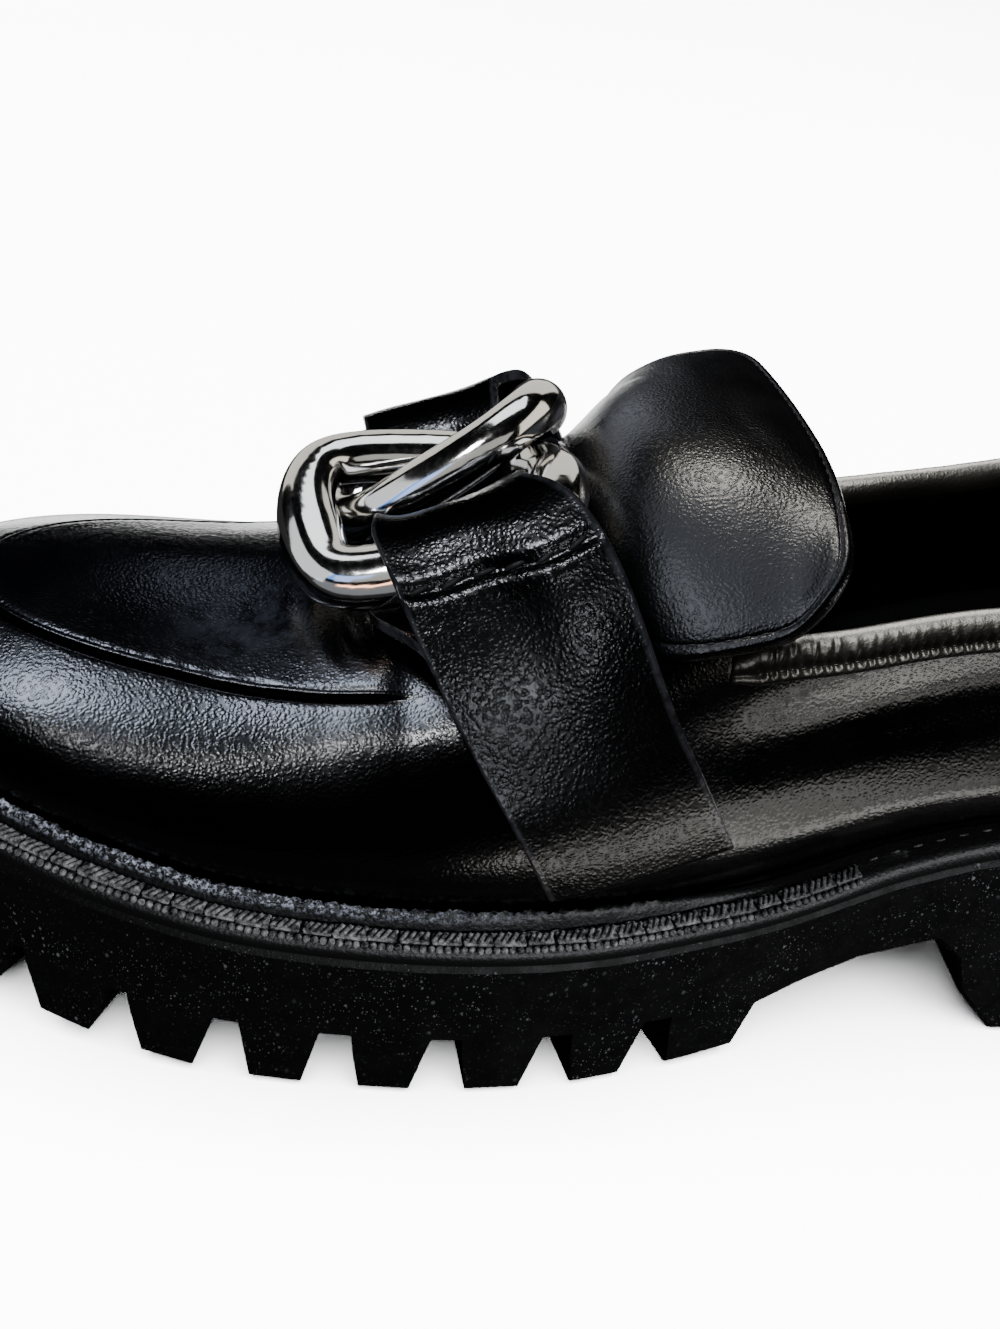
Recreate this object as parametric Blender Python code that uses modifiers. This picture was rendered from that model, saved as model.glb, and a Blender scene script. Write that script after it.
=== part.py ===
"""Left chain loafer on a deep lug sole, as separate solids, one for each piece a maker puts together.

The shoe stands empty on its sole: +X points to the toe, +Y to the outer (lateral) side, +Z up.
Lengths in the tables are millimetres, with X counted forward from the back of the heel;
`place` turns them into metres about the middle of the shoe's footprint.
"""

import math

import bmesh
import bpy
from mathutils import Matrix, Vector

MM = 0.001
GAP = 0.3  # clearance between pieces that touch

# Sole
LENGTH = 270.0
HEEL_ROUND = 40.0  # length of the heel's rounded end
TOE_ROUND = 70.0
HEEL_POWER = 2.3  # how square the rounded ends are: 2 is an ellipse
TOE_POWER = 2.2
TOE_SPRING = 13.8
SPRING_START = 195.0
TREAD_END = 128.0  # back of the forefoot tread
TREAD_RISE = 1.8
TREAD_RISE_START = 150.0
HEEL_LENGTH = 81.0
LIP = 1.6  # how far the sole's lip lies under the welt
SOLE_TAPER = 1.6

# Tread
LUG_PITCH = 16.6
GROOVE_DEPTH = 12.5
GROOVE_ROOT = 5.0  # groove width at its ceiling
GROOVE_MOUTH = 11.0
GROOVE_REACH = 21.0
HEEL_GROOVE_DEPTH = 8.0
BREAST_NOTCH = 5.0

# Welt and upper
WELT_THICK = 3.9
WELT_SHOULDER = 1.8
RIDGE_RISE = 1.9  # storm ridge against the upper
RIDGE_WIDTH = 1.9
RIDGE_GAP = 0.9
FEATHER_FRONT = 6.8  # inset of the upper's foot from the welt's edge
FEATHER_HEEL = 5.2
WALL = 2.0
SEAM_RISE = 1.1
SEAM_OUTSIDE = 0.045  # width of the seam's outer slope, as a share of the section
SEAM_INSIDE = 0.04
APRON_RISE = 0.5
SEAM_END = 184.0
COLLAR_DEPTH = 3.6
COLLAR_PROUD = 0.6
COLLAR_WALL = 3.2
THROAT = 139.0  # front edge of the foot opening
OUTER_TILT = 2.0  # the opening's edge stands higher outside than inside
INNER_TILT = -4.0

# Insole, tongue, straps and chain
INSOLE_THICK = 3.0
INSOLE_ROOM = 2.0
TONGUE_THICK = 2.4
TONGUE_BACK = 126.5
TONGUE_FRONT = 158.8
TONGUE_SWEEP = 7.0  # the front edge runs back toward the sides, clear of the straps
TONGUE_CORNER = 9.0
TONGUE_LIFT = 0.8  # underside of the tongue above the vamp
STRAP_THICK = 1.8
STRAP_AT = 180.2  # middle of the fold, in the middle of the link's hole
STRAP_HALF = 14.0  # half width over the bar
STRAP_IN_LINK = 11.7  # half width where it passes through the link
STRAP_SHIFT = 1.9  # and how far its middle moves to the toe there
STRAP_TAPER = 0.6  # how much the half width loses by the foot
STRAP_SLANT = 30.4  # how far the strap's foot lies behind its fold
STRAP_TURN = 13.0  # from the bar down to the cross stitching
NARROW_FROM = math.radians(72)  # where round the bar the strap narrows to go into the link
NARROW_BY = math.radians(115)
STRAP_EASE = 1.25  # room for the bar in the strap's fold
FOLD_STRETCH = 0.19  # the fold reaches further round the bar at the strap's edges, where the link turns,
FOLD_FLARE = 0.44  # and further still outside the link
FOLD_RISE = 0.09  # and a little higher over it
STRAP_WAIST = 1.4  # the front edge is hollowed this much
STRAP_LIFT = 1.8  # middle of the leather above the upper
STRAP_SHORT = 4.8  # the strap's end stops this far above the welt at its front corner
STRAP_SHORT_BACK = 2.6  # and twice this much higher at its back corner
CHAIN_AT = 178.2
CHAIN_HALF_PITCH = 8.5
CHAIN_ROLL = 4.0  # degrees, outer side up
CHAIN_PITCH = 3.6  # degrees, toe side up from the ridge's own slope
LINK_WIRE = 4.6
LINK_POINTS = 32

# distance from heel, middle of the sole, half width
OUTLINE = [
    (0, 0.0, 36.5),
    (54, 0.0, 37.0),
    (81, 1.2, 35.8),
    (108, 3.2, 35.2),
    (135, 5.2, 39.7),
    (157, 5.2, 44.8),
    (178, 3.4, 48.1),
    (200, 1.0, 49.0),
    (235, -2.4, 48.4),
    (270, -4.0, 48.5),
]

# distance from heel, height of the welt's edge
WELT_LINE = [
    (0, 48.0),
    (54, 46.2),
    (81, 43.6),
    (95, 41.0),
    (109, 37.0),
    (122, 33.2),
    (135, 31.2),
    (157, 30.2),
    (178, 30.0),
    (200, 30.3),
    (221, 32.5),
    (243, 36.0),
    (259, 38.6),
    (270, 40.4),
]

# distance from heel, height of the sole's underside: heel, breast, arch
UNDERSIDE = [
    (0, 0.0),
    (HEEL_LENGTH, 0.0),
    (89.5, 9.0),
    (92.0, 16.0),
    (97.0, 20.6),
    (110.0, 17.4),
    (120.0, 13.4),
    (126.0, 10.6),
    (TREAD_END, 1.8),
]

# distance from heel, sideways place and height of the upper's highest line, full last before it is cut open
RIDGE = [
    (26, 0.0, 122.0),
    (60, 0.0, 113.0),
    (90, 0.0, 101.0),
    (120, -2.0, 93.0),
    (140, -3.5, 86.0),
    (152, -4.5, 80.4),
    (162, -5.0, 74.6),
    (175, -5.5, 67.0),
    (190, -6.0, 60.6),
    (205, -6.0, 56.6),
    (228, -6.0, 54.0),
]

# distance from heel, place of the apron seam on each section, 0 at the welt and 1 on the ridge
SEAM_PLACE = [
    (178, 0.566),
    (196, 0.585),
    (212, 0.612),
    (230, 0.635),
    (270, 0.645),
]
# distance from heel, outer and inner share of the height that the side walls rise steeply,
# outer and inner reach of the flat top
SIDES = [
    (100, 0.58, 0.58, 0.56, 0.56),
    (150, 0.58, 0.55, 0.56, 0.50),
    (180, 0.60, 0.50, 0.58, 0.42),
    (225, 0.62, 0.50, 0.60, 0.42),
    (270, 0.62, 0.62, 0.60, 0.60),
]
# distance from heel, height of the foot opening's edge
TOPLINE = [
    (-8, 102.0),
    (10, 101.0),
    (30, 95.5),
    (55, 86.0),
    (80, 79.5),
    (105, 75.5),
    (122, 72.0),
    (137, 69.5),
    (THROAT, 68.0),
]

# distance from heel, sideways place and height of the middle, drop at the outer and inner edge, half width
TONGUE = [
    (126, 0.0, 86.6, 1.5, 0.6, 34.0),
    (130, 0.0, 87.2, 6.5, 1.5, 35.0),
    (135, 0.0, 87.6, 12.5, 3.0, 35.4),
    (142, -0.2, 87.2, 15.6, 5.0, 35.0),
    (150, -0.8, 85.4, 17.0, 9.0, 33.6),
    (156, -1.6, 82.6, 15.8, 11.6, 30.0),
    (161, -3.0, 79.6, 14.0, 12.0, 26.0),
]

# along the shoe, toward the link's strap, height, wire radius
LINK = [
    (0.0, 12.9, 5.5, 4.7),
    (9.6, 12.9, 5.5, 4.7),
    (16.0, 10.8, 7.0, 4.6),
    (18.0, 3.0, 10.4, 4.8),
    (17.8, -4.0, 13.5, 4.2),
    (15.2, -9.8, 14.6, 3.9),
    (9.6, -12.7, 13.2, 4.0),
    (0.0, -13.4, 10.1, 4.2),
    (-9.0, -12.7, 7.3, 4.0),
    (-14.6, -9.8, 6.2, 3.9),
    (-17.6, -4.0, 6.4, 4.2),
    (-18.0, 3.0, 6.9, 4.8),
    (-16.0, 10.8, 6.7, 4.6),
    (-9.6, 12.9, 5.9, 4.7),
]


# ---------------------------------------------------------------- helpers


def smooth(rows, at):
    """Each column after the first, on a smooth curve through the rows."""
    at = min(max(at, rows[0][0]), rows[-1][0])
    i = next(k for k in range(1, len(rows)) if at <= rows[k][0])
    left, right = rows[i - 1], rows[i]
    before, after = rows[max(i - 2, 0)], rows[min(i + 1, len(rows) - 1)]
    span = right[0] - left[0]
    u = (at - left[0]) / span
    values = []
    for column in range(1, len(left)):
        slope_in = (right[column] - before[column]) / (right[0] - before[0])
        slope_out = (after[column] - left[column]) / (after[0] - left[0])
        values.append(
            left[column] * (1 + 2 * u) * (1 - u) ** 2
            + right[column] * (3 - 2 * u) * u**2
            + span * u * (1 - u) * (slope_in * (1 - u) - slope_out * u)
        )
    return values


def straight(rows, at):
    """The second column, on straight lines through the rows."""
    at = min(max(at, rows[0][0]), rows[-1][0])
    i = next(k for k in range(1, len(rows)) if at <= rows[k][0])
    u = (at - rows[i - 1][0]) / (rows[i][0] - rows[i - 1][0])
    return rows[i - 1][1] + u * (rows[i][1] - rows[i - 1][1])


def lerp(a, b, u):
    return a + (b - a) * u


def material(name, colour, roughness, metallic=0.0):
    made = bpy.data.materials.new(name)
    made.use_nodes = True
    shader = made.node_tree.nodes["Principled BSDF"]
    shader.inputs["Base Color"].default_value = (*colour, 1.0)
    shader.inputs["Roughness"].default_value = roughness
    shader.inputs["Metallic"].default_value = metallic
    return made


def collection(name, in_render=True):
    made = bpy.data.collections.new(name)
    bpy.context.scene.collection.children.link(made)
    made.hide_render = not in_render
    return made


def add_object(name, data, group, finish=None):
    obj = bpy.data.objects.new(name, data)
    group.objects.link(obj)
    if finish:
        data.materials.append(finish)
    return obj


def mesh_from(name, points, faces):
    """A mesh of the points, in millimetres of the shoe, with coincident points merged."""
    shape = bmesh.new()
    verts = [shape.verts.new(place(p)) for p in points]
    for face in faces:
        shape.faces.new([verts[i] for i in face])
    bmesh.ops.remove_doubles(shape, verts=shape.verts, dist=0.00002)
    bmesh.ops.dissolve_degenerate(shape, edges=shape.edges, dist=0.00002)
    bmesh.ops.recalc_face_normals(shape, faces=shape.faces)
    mesh = bpy.data.meshes.new(name)
    shape.to_mesh(mesh)
    shape.free()
    mesh.shade_smooth()
    return mesh


def loft(sections, closed=True):
    """Points and quads that join each section to the next. A closed section is a loop."""
    count = len(sections[0])
    points = [p for section in sections for p in section]
    faces = []
    for i in range(len(sections) - 1):
        for j in range(count if closed else count - 1):
            k = (j + 1) % count
            faces.append((i * count + j, i * count + k, (i + 1) * count + k, (i + 1) * count + j))
    return points, faces


def cut(obj, cutter, operation="DIFFERENCE"):
    boolean = obj.modifiers.new(cutter.name, "BOOLEAN")
    boolean.operation = operation
    boolean.object = cutter


def helper(obj):
    obj.hide_render = True
    obj.display_type = "WIRE"
    return obj


# ---------------------------------------------------------------- the sole's outline and heights


def rounding(x):
    """1 along the sole's middle, falling to 0 round its ends."""
    if x < HEEL_ROUND:
        reach, power = 1 - x / HEEL_ROUND, HEEL_POWER
    elif x > LENGTH - TOE_ROUND:
        reach, power = 1 - (LENGTH - x) / TOE_ROUND, TOE_POWER
    else:
        return 1.0
    return max(0.0, 1 - reach**power) ** (1 / power)


def edge(x, side):
    """Point of the welt's edge at x, on the outer side (1) or the inner side (-1)."""
    middle, half = smooth(OUTLINE, x)
    return Vector((x, middle + side * half * rounding(x)))


def inset_edge(x, side, inset):
    """The edge's point moved inward, square to the edge."""
    step = 0.05
    if x < step or x > LENGTH - step:
        inward = Vector((1.0 if x < step else -1.0, 0.0))
    else:
        along = edge(x + step, side) - edge(x - step, side)
        inward = Vector((along.y, -along.x)).normalized() * side
    return edge(x, side) + inward * inset


def welt_height(x):
    return smooth(WELT_LINE, x)[0]


def underside(x):
    if x <= TREAD_END:
        return straight(UNDERSIDE, x)
    rise = max(0.0, (TREAD_RISE_START - x) / (TREAD_RISE_START - TREAD_END))
    spring = max(0.0, (x - SPRING_START) / (LENGTH - SPRING_START))
    return TREAD_RISE * rise**2 + TOE_SPRING * spring**2


def stations(count, extra=()):
    """Places along the shoe, closer together at its rounded ends."""
    even = [LENGTH / 2 * (1 - math.cos(math.pi * i / count)) for i in range(count + 1)]
    kept = [x for x in even if all(abs(x - y) > 1.5 for y in extra)]
    return sorted(kept + list(extra))


def edge_middle():
    ends = [edge(x, side).y for x in stations(120) for side in (1, -1)]
    return (max(ends) + min(ends)) / 2


MIDDLE_Y = edge_middle()


def place(point):
    """Millimetres from the back of the heel into metres about the footprint's middle."""
    x, y, z = point
    return Vector(((x - LENGTH / 2) * MM, (y - MIDDLE_Y) * MM, z * MM))


def slab(profile, places):
    """Closed sections of a flat piece: profile(x) lists inset and height, from the top edge to the bottom edge."""
    sections = []
    for x in places:
        rows = profile(x)
        outer = [(*inset_edge(x, 1, inset), z) for inset, z in rows]
        inner = [(*inset_edge(x, -1, inset), z) for inset, z in reversed(rows)]
        sections.append(outer + inner)
    return loft(sections)


# ---------------------------------------------------------------- the upper's surface


def feather_inset(x):
    blend = min(max((x - 70) / 60, 0.0), 1.0)
    return lerp(FEATHER_HEEL, FEATHER_FRONT, blend * blend * (3 - 2 * blend))


def welt_top(x):
    return welt_height(x) + WELT_THICK - LIP


def ridge_x(x):
    """The ridge's place for a section whose foot is at x: square across the waist, fanned round the ends."""
    if x > 185:
        return 185 + (x - 185) * (228 - 185) / (LENGTH - 185)
    if x < 45:
        return 45 - (45 - x) * (45 - 26) / 45
    return x


def section(x, side, s, proud=0.0):
    """Point of the upper's outer surface: s runs from 0 at the welt to 1 on the ridge."""
    foot = inset_edge(x, side, feather_inset(x) - proud)
    out = (inset_edge(x, side, 0) - inset_edge(x, side, 1)).to_3d()
    low = Vector((*foot, welt_top(x) + GAP))
    at = ridge_x(x)
    y, z = smooth(RIDGE, at)
    high = Vector((at, y, z + proud))
    rise = high.z - low.z
    bulge = lerp(2.5, 4.0, min(max((x - 90) / 60, 0.0), 1.0))
    toward_foot = Vector((low.x - high.x, low.y - high.y, 0.0))
    outer_rise, inner_rise, outer_top, inner_top = smooth(SIDES, x)
    a = low + out * bulge + Vector((0, 0, (outer_rise if side > 0 else inner_rise) * rise))
    b = high + toward_foot * (outer_top if side > 0 else inner_top)
    t = 1 - s
    return low * t**3 + a * 3 * t * t * s + b * 3 * t * s * s + high * s**3


def seam_shape(x, s):
    """The apron stands a little above the vamp, with a raised seam at its edge."""
    at = smooth(SEAM_PLACE, x)[0]
    if s < at - SEAM_OUTSIDE:
        return 0.0
    if s < at:
        return SEAM_RISE * (s - at + SEAM_OUTSIDE) / SEAM_OUTSIDE
    if s < at + SEAM_INSIDE:
        return lerp(SEAM_RISE, APRON_RISE, (s - at) / SEAM_INSIDE)
    return APRON_RISE


def seam_fade(x):
    """The apron seam is lost under the strap."""
    return min(max((x - SEAM_END) / 6, 0.0), 1.0)


def skin(x, side, s, proud=0.0):
    """The outer surface with the apron's step."""
    step = 0.01
    point = section(x, side, s, proud)
    raised = seam_shape(x, s) * seam_fade(x)
    if raised == 0:
        return point
    along = section(x, side, min(s + step, 1), proud) - section(x, side, s - step, proud)
    foot_to_ridge = section(x, side, 1, proud) - section(x, side, 0, proud)
    flat = Vector((foot_to_ridge.x, foot_to_ridge.y, 0)).normalized()
    normal = Vector((0, 0, 1)) * along.dot(flat) - flat * along.z
    return point + normal.normalized() * raised


def section_steps(x):
    """Where each section is divided, from the welt up to the ridge."""
    at = smooth(SEAM_PLACE, x)[0]
    return [0.0, 0.12, 0.24, 0.36, 0.47, at - SEAM_OUTSIDE, at, at + SEAM_INSIDE, 0.76, 0.88, 1.0]


def shell(name, group, finish, wall, proud=0.0, count=46):
    """The whole last's surface as a wall of even thickness, open underneath."""
    sections = []
    for x in stations(count):
        steps = section_steps(x)
        outer = [skin(x, 1, s, proud) for s in steps]
        inner = [skin(x, -1, s, proud) for s in reversed(steps[:-1])]
        sections.append(outer + inner)
    mesh = mesh_from(name, *loft(sections, closed=False))
    obj = add_object(name, mesh, group, finish)
    solidify = obj.modifiers.new("wall", "SOLIDIFY")
    solidify.thickness = wall * MM
    solidify.offset = -1.0
    solidify.use_even_offset = True
    return obj


def opening_cutter(name, drop_low, drop_high, group, front):
    """A prism across the shoe, between two lines that follow the foot opening's edge."""
    places = [-8 + (front + 8) * i / 24 for i in range(25)]
    loops = []
    for y, tilt in ((-75, INNER_TILT), (75, OUTER_TILT)):
        # the tilt is the opening's at 25 mm either side of the middle
        lower = [(x, y, smooth(TOPLINE, x)[0] + tilt * 2 - drop_low) for x in places]
        upper = [(x, y, 150.0 if drop_high is None else smooth(TOPLINE, x)[0] + tilt * 2 - drop_high)
                 for x in reversed(places)]
        loops.append(lower + upper)
    points, faces = loft(loops)
    count = len(places)
    for base in (0, 2 * count):
        for i in range(count - 1):
            faces.append((base + i, base + i + 1, base + 2 * count - 2 - i, base + 2 * count - 1 - i))
    return helper(add_object(name, mesh_from(name, points, faces), group))


# ---------------------------------------------------------------- distances over the vamp


def girth_point(x, side, down, lift):
    """Point `down` millimetres from the ridge along the section at x, and `lift` above the surface."""
    steps = 48
    travelled = 0.0
    last = section(x, side, 1.0)
    for i in range(1, steps + 1):
        here = section(x, side, 1.0 - i / steps)
        length = (here - last).length
        if travelled + length >= down or i == steps:
            break
        travelled += length
        last = here
    way = (here - last).normalized()
    point = last + way * (down - travelled)
    normal = Vector((0.0, -way.z, way.y)) * side
    if normal.z < 0 and normal.y * side < 0:
        normal = -normal
    return point + normal.normalized() * lift


def skin_height(x, y):
    """Height of the upper's outer surface over a point near the ridge."""
    side = 1 if y > smooth(RIDGE, ridge_x(x))[0] else -1
    steps = 60
    points = [section(x, side, 1 - i / steps) for i in range(steps + 1)]
    return min(points, key=lambda p: abs(p.y - y)).z


def girth(x, side):
    steps = 48
    points = [section(x, side, i / steps) for i in range(steps + 1)]
    return sum((points[i + 1] - points[i]).length for i in range(steps))


# ---------------------------------------------------------------- pieces


def make_outsole(group, cutters, rubber):
    """One moulded unit: forefoot tread, arch and heel, with a lip under the welt."""

    def profile(x):
        top = welt_height(x) - LIP
        bottom = underside(x)
        wall = top - bottom
        return [
            (1.0, top),
            (0.4, top - 0.9),
            (0.9, top - 2.2),
            (0.9 + 0.35 * SOLE_TAPER, top - 0.5 * wall),
            (SOLE_TAPER + 0.4, bottom + min(1.2, 0.1 * wall)),
            (SOLE_TAPER + 1.4, bottom),
        ]

    extra = [row[0] for row in UNDERSIDE[1:]] + [SPRING_START]
    mesh = mesh_from("outsole", *slab(profile, stations(46, extra)))
    obj = add_object("outsole", mesh, group, rubber)
    cut(obj, groove_cutters(cutters))
    cut(obj, notch_cutters(cutters))
    return obj


def wedge(shape, centre, inward, floor, ceiling, mouth, root, reach):
    """One tread groove: a bar that narrows upward and inward, from outside the edge."""
    along = Vector((-inward.y, inward.x))
    made = bmesh.ops.create_cube(shape, size=1.0)["verts"]
    for vert in made:
        outside, upper = vert.co.x < 0, vert.co.z > 0
        depth = -4.0 if outside else reach
        width = (root if upper else mouth) * (1.0 if outside else 0.62)
        flat = centre + inward * depth + along * (vert.co.y * width)
        height = ceiling if upper else floor
        vert.co = place((flat.x, flat.y, height))


def groove_cutters(group):
    """Grooves at an even pitch round the forefoot and round the heel."""
    shape = bmesh.new()
    for start, end, depth in ((TREAD_END + 14.6, LENGTH, GROOVE_DEPTH), (HEEL_LENGTH - 14.0, 0.0, HEEL_GROOVE_DEPTH)):
        for side in (1, -1):
            for x in pitch_places(start, end, side, LUG_PITCH):
                here = edge(x, side)
                inward = (inset_edge(x, side, 1) - here).normalized()
                low = underside(min(max(x, 0), LENGTH))
                wedge(shape, here, inward, low - 4.0, low + depth, GROOVE_MOUTH, GROOVE_ROOT, GROOVE_REACH)
    bmesh.ops.recalc_face_normals(shape, faces=shape.faces)
    mesh = bpy.data.meshes.new("grooves")
    shape.to_mesh(mesh)
    shape.free()
    return helper(add_object("grooves", mesh, group))


def pitch_places(start, end, side, pitch):
    """Places along the edge from start to the middle of the rounded end, a whole number of even pitches apart."""
    steps = 400
    xs = [lerp(start, end, math.sin(math.pi / 2 * i / steps)) for i in range(steps + 1)]
    lengths = [0.0]
    for a, b in zip(xs, xs[1:]):
        lengths.append(lengths[-1] + (edge(b, side) - edge(a, side)).length)
    count = round(lengths[-1] / pitch - 0.5)
    even = lengths[-1] / (count + 0.5)
    places = []
    for k in range(count + 1):
        i = next(n for n in range(steps + 1) if lengths[n] >= k * even - 1e-6)
        places.append(xs[i])
    return places


def notch_cutters(group):
    """Upright notches in the heel's breast, as deep as the heel's grooves are wide."""
    shape = bmesh.new()
    for y in (-20.0, 0.0, 20.0):
        wedge(
            shape, Vector((HEEL_LENGTH + 6.0, y)), Vector((-1.0, 0.0)), -4.0, HEEL_GROOVE_DEPTH,
            GROOVE_MOUTH, GROOVE_ROOT, BREAST_NOTCH + 6.0,
        )  # fmt: skip
    bmesh.ops.recalc_face_normals(shape, faces=shape.faces)
    mesh = bpy.data.meshes.new("breast_notches")
    shape.to_mesh(mesh)
    shape.free()
    return helper(add_object("breast_notches", mesh, group))


def make_welt(group, finish):
    """A full plate on the outsole whose edge shows, with a storm ridge against the upper."""

    def profile(x):
        base = welt_height(x) - LIP + GAP
        top = welt_top(x)
        foot = feather_inset(x)
        fade = min(max((x - 100) / 25, 0.0), 1.0)
        rise = RIDGE_RISE * fade
        return [
            (foot - RIDGE_GAP, top),
            (foot - RIDGE_GAP, top + rise),
            (foot - RIDGE_GAP - RIDGE_WIDTH, top + rise * 0.9),
            (foot - RIDGE_GAP - RIDGE_WIDTH - 0.5, top),
            (WELT_SHOULDER, top),
            (0.4, top - 0.9),
            (0.0, (base + top) / 2),
            (0.4, base + 0.3),
            (1.0, base),
        ]

    mesh = mesh_from("welt", *slab(profile, stations(52)))
    return add_object("welt", mesh, group, finish)


def make_insole(group, finish):
    """The footbed, inside the upper's wall."""

    def profile(x):
        inset = feather_inset(x) + WALL + INSOLE_ROOM
        base = welt_top(x) + 0.5
        return [(inset - 1.0, base + INSOLE_THICK), (inset, base)]

    mesh = mesh_from("insole", *slab(profile, stations(36)))
    return add_object("insole", mesh, group, finish)


def make_upper(group, cutters, leather):
    obj = shell("upper", group, leather, WALL)
    cut(obj, opening_cutter("foot_opening", COLLAR_DEPTH + GAP, None, cutters, THROAT))
    return obj


def make_collar(group, cutters, leather):
    """The padded binding on the quarter's top edge, a band of the upper's own form, slightly proud."""
    obj = shell("collar_binding", group, leather, COLLAR_WALL, COLLAR_PROUD)
    cut(obj, opening_cutter("collar_band", COLLAR_DEPTH, 0.0, cutters, THROAT - 1.0), "INTERSECT")
    return obj


def make_tongue(group, leather):
    """A wide flap that follows the instep and flares flat at its free end, with rounded corners."""
    across, along = 16, 10
    sections = []
    for j in range(across + 1):
        v = -math.cos(math.pi * j / across)
        # the free end bows back a little, and its corners are rounded
        corner = min(1.0, (1 - abs(v)) * TONGUE[0][-1] / TONGUE_CORNER)
        back = TONGUE_BACK + 1.6 * v * v + TONGUE_CORNER * (1 - math.sqrt(1 - (1 - corner) ** 2))
        row = []
        for i in range(along + 1):
            x = lerp(back, TONGUE_FRONT - TONGUE_SWEEP * v**4, i / along)
            middle, height, outer_drop, inner_drop, half = smooth(TONGUE, x)
            y = middle + v * half
            z = height - (outer_drop if v > 0 else inner_drop) * abs(v) ** 2.2
            if x > THROAT - 4:
                z = max(z, skin_height(x, y) + TONGUE_LIFT)
            row.append((x, y, z))
        sections.append(row)
    mesh = mesh_from("tongue", *loft(sections, closed=False))
    obj = add_object("tongue", mesh, group, leather)
    solidify = obj.modifiers.new("leather", "SOLIDIFY")
    solidify.thickness = TONGUE_THICK * MM
    solidify.offset = 1.0
    return obj


def strap_path(bar, bar_inside, end, edge_share):
    """The strap's middle in one upright plane, from foot to tucked end: distance from the ridge, height, and how
    far it is inside the link. The bar is given where the strap is wide and where it's narrow inside the link."""
    radius = LINK_WIRE + STRAP_EASE + STRAP_THICK / 2
    double = STRAP_LIFT + STRAP_THICK + GAP + 0.1
    bar_down, bar_lift = bar
    stitch = bar_down + STRAP_TURN
    rows = [(lerp(end, stitch + 8, i / 7), STRAP_LIFT, 0.0) for i in range(8)]
    rows += [(stitch + 4, lerp(STRAP_LIFT, double, 0.5), 0.0), (stitch, double, 0.0)]
    reach = math.hypot(STRAP_TURN, bar_lift - double)
    lean = math.atan2(double - bar_lift, STRAP_TURN)
    start = lean + math.acos(radius / reach)
    for i in range(11):
        angle = lerp(start, math.radians(270), i / 10)
        away = radius * math.cos(angle)
        inside = min(max((angle - NARROW_FROM) / (NARROW_BY - NARROW_FROM), 0.0), 1.0)
        middle, lift = lerp(bar_down, bar_inside[0], inside), lerp(bar_lift, bar_inside[1], inside)
        down = middle + away * (1 + (FOLD_STRETCH if away < 0 else FOLD_FLARE) * edge_share)
        rise = 1 + FOLD_RISE * edge_share * max(0.0, math.sin(angle))
        rows.append((down, lift + radius * math.sin(angle) * rise, inside))
    bar_down, bar_lift = bar_inside
    rows += [(lerp(bar_down + 2, stitch - 1.5, i / 3), bar_lift - radius, 1.0) for i in range(4)]
    return rows


def bar_place(x, side):
    """Where the link's bar runs through the strap: distance from the ridge, and height above the upper."""
    rows = [LINK[-2], LINK[-1], *LINK[:3]]
    local = x - CHAIN_AT
    for _ in range(4):
        y, z, _ = smooth(rows, side * local)
        bar = link_point(side * local, y, z, side)
        local += x - bar.x
    downs = [0.5 * i for i in range(80)]
    down = min(downs, key=lambda d: (girth_point(x, side, d, 0.0).yz - bar.yz).length)
    return down, (girth_point(x, side, down, 0.0).yz - bar.yz).length


def strap_sections(side):
    """Points of the strap's middle, in rows from its foot over the link's bar to the tucked end."""
    sections = []
    for w in (-1.0, -0.5, 0.0, 0.5, 1.0):
        bar = bar_place(STRAP_AT + w * STRAP_HALF, side)
        bar_inside = bar_place(STRAP_AT + STRAP_SHIFT + w * STRAP_IN_LINK, side)
        foot_x = STRAP_AT - STRAP_SLANT + w * (STRAP_HALF - STRAP_TAPER)
        end = girth(foot_x, side) - STRAP_SHORT - STRAP_SHORT_BACK * (1 - w)
        row = []
        for down, lift, inside in strap_path(bar, bar_inside, end, w * w):
            gone = max(0.0, down - bar[0]) / (end - bar[0])
            half = lerp(STRAP_HALF - STRAP_TAPER * gone, STRAP_IN_LINK, inside)
            hollow = STRAP_WAIST * max(w, 0.0) * 4 * gone * (1 - gone)
            shift = STRAP_SHIFT * inside * max(0.0, 1 - gone / 0.12)
            x = STRAP_AT + w * half + shift - hollow - STRAP_SLANT * gone
            row.append(girth_point(x, side, down, lift))
        sections.append(row)
    return sections


def make_strap(name, side, group, leather):
    """A leather strap folded round the chain's end bar, slanting back down to the welt."""
    mesh = mesh_from(name, *loft(strap_sections(side), closed=False))
    obj = add_object(name, mesh, group, leather)
    solidify = obj.modifiers.new("leather", "SOLIDIFY")
    solidify.thickness = STRAP_THICK * MM
    solidify.offset = 0.0
    return obj


def link_point(x, y, z, side):
    """A point of the link's table in the shoe: the inner link is the same link turned half round."""
    origin, turn = chain_frame()
    return origin + turn @ Vector((side * x, side * (y + CHAIN_HALF_PITCH), z))


def chain_frame():
    """Origin on the ridge under the chain, x close along the ridge to the toe, z nearly square to it."""
    y, z = smooth(RIDGE, CHAIN_AT)
    ahead = smooth(RIDGE, CHAIN_AT + 8)[1] - smooth(RIDGE, CHAIN_AT - 8)[1]
    slope = Matrix.Rotation(-math.atan2(ahead, 16.0) - math.radians(CHAIN_PITCH), 3, "Y")
    roll = Matrix.Rotation(math.radians(CHAIN_ROLL), 3, "X")
    return Vector((CHAIN_AT, y, z)), slope @ roll


def closed_curve(rows, count):
    """Evenly spread points on a smooth closed curve through the rows."""
    looped = [(i, *rows[i % len(rows)]) for i in range(-2, len(rows) + 3)]
    return [smooth(looped, len(rows) * i / count) for i in range(count)]


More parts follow.
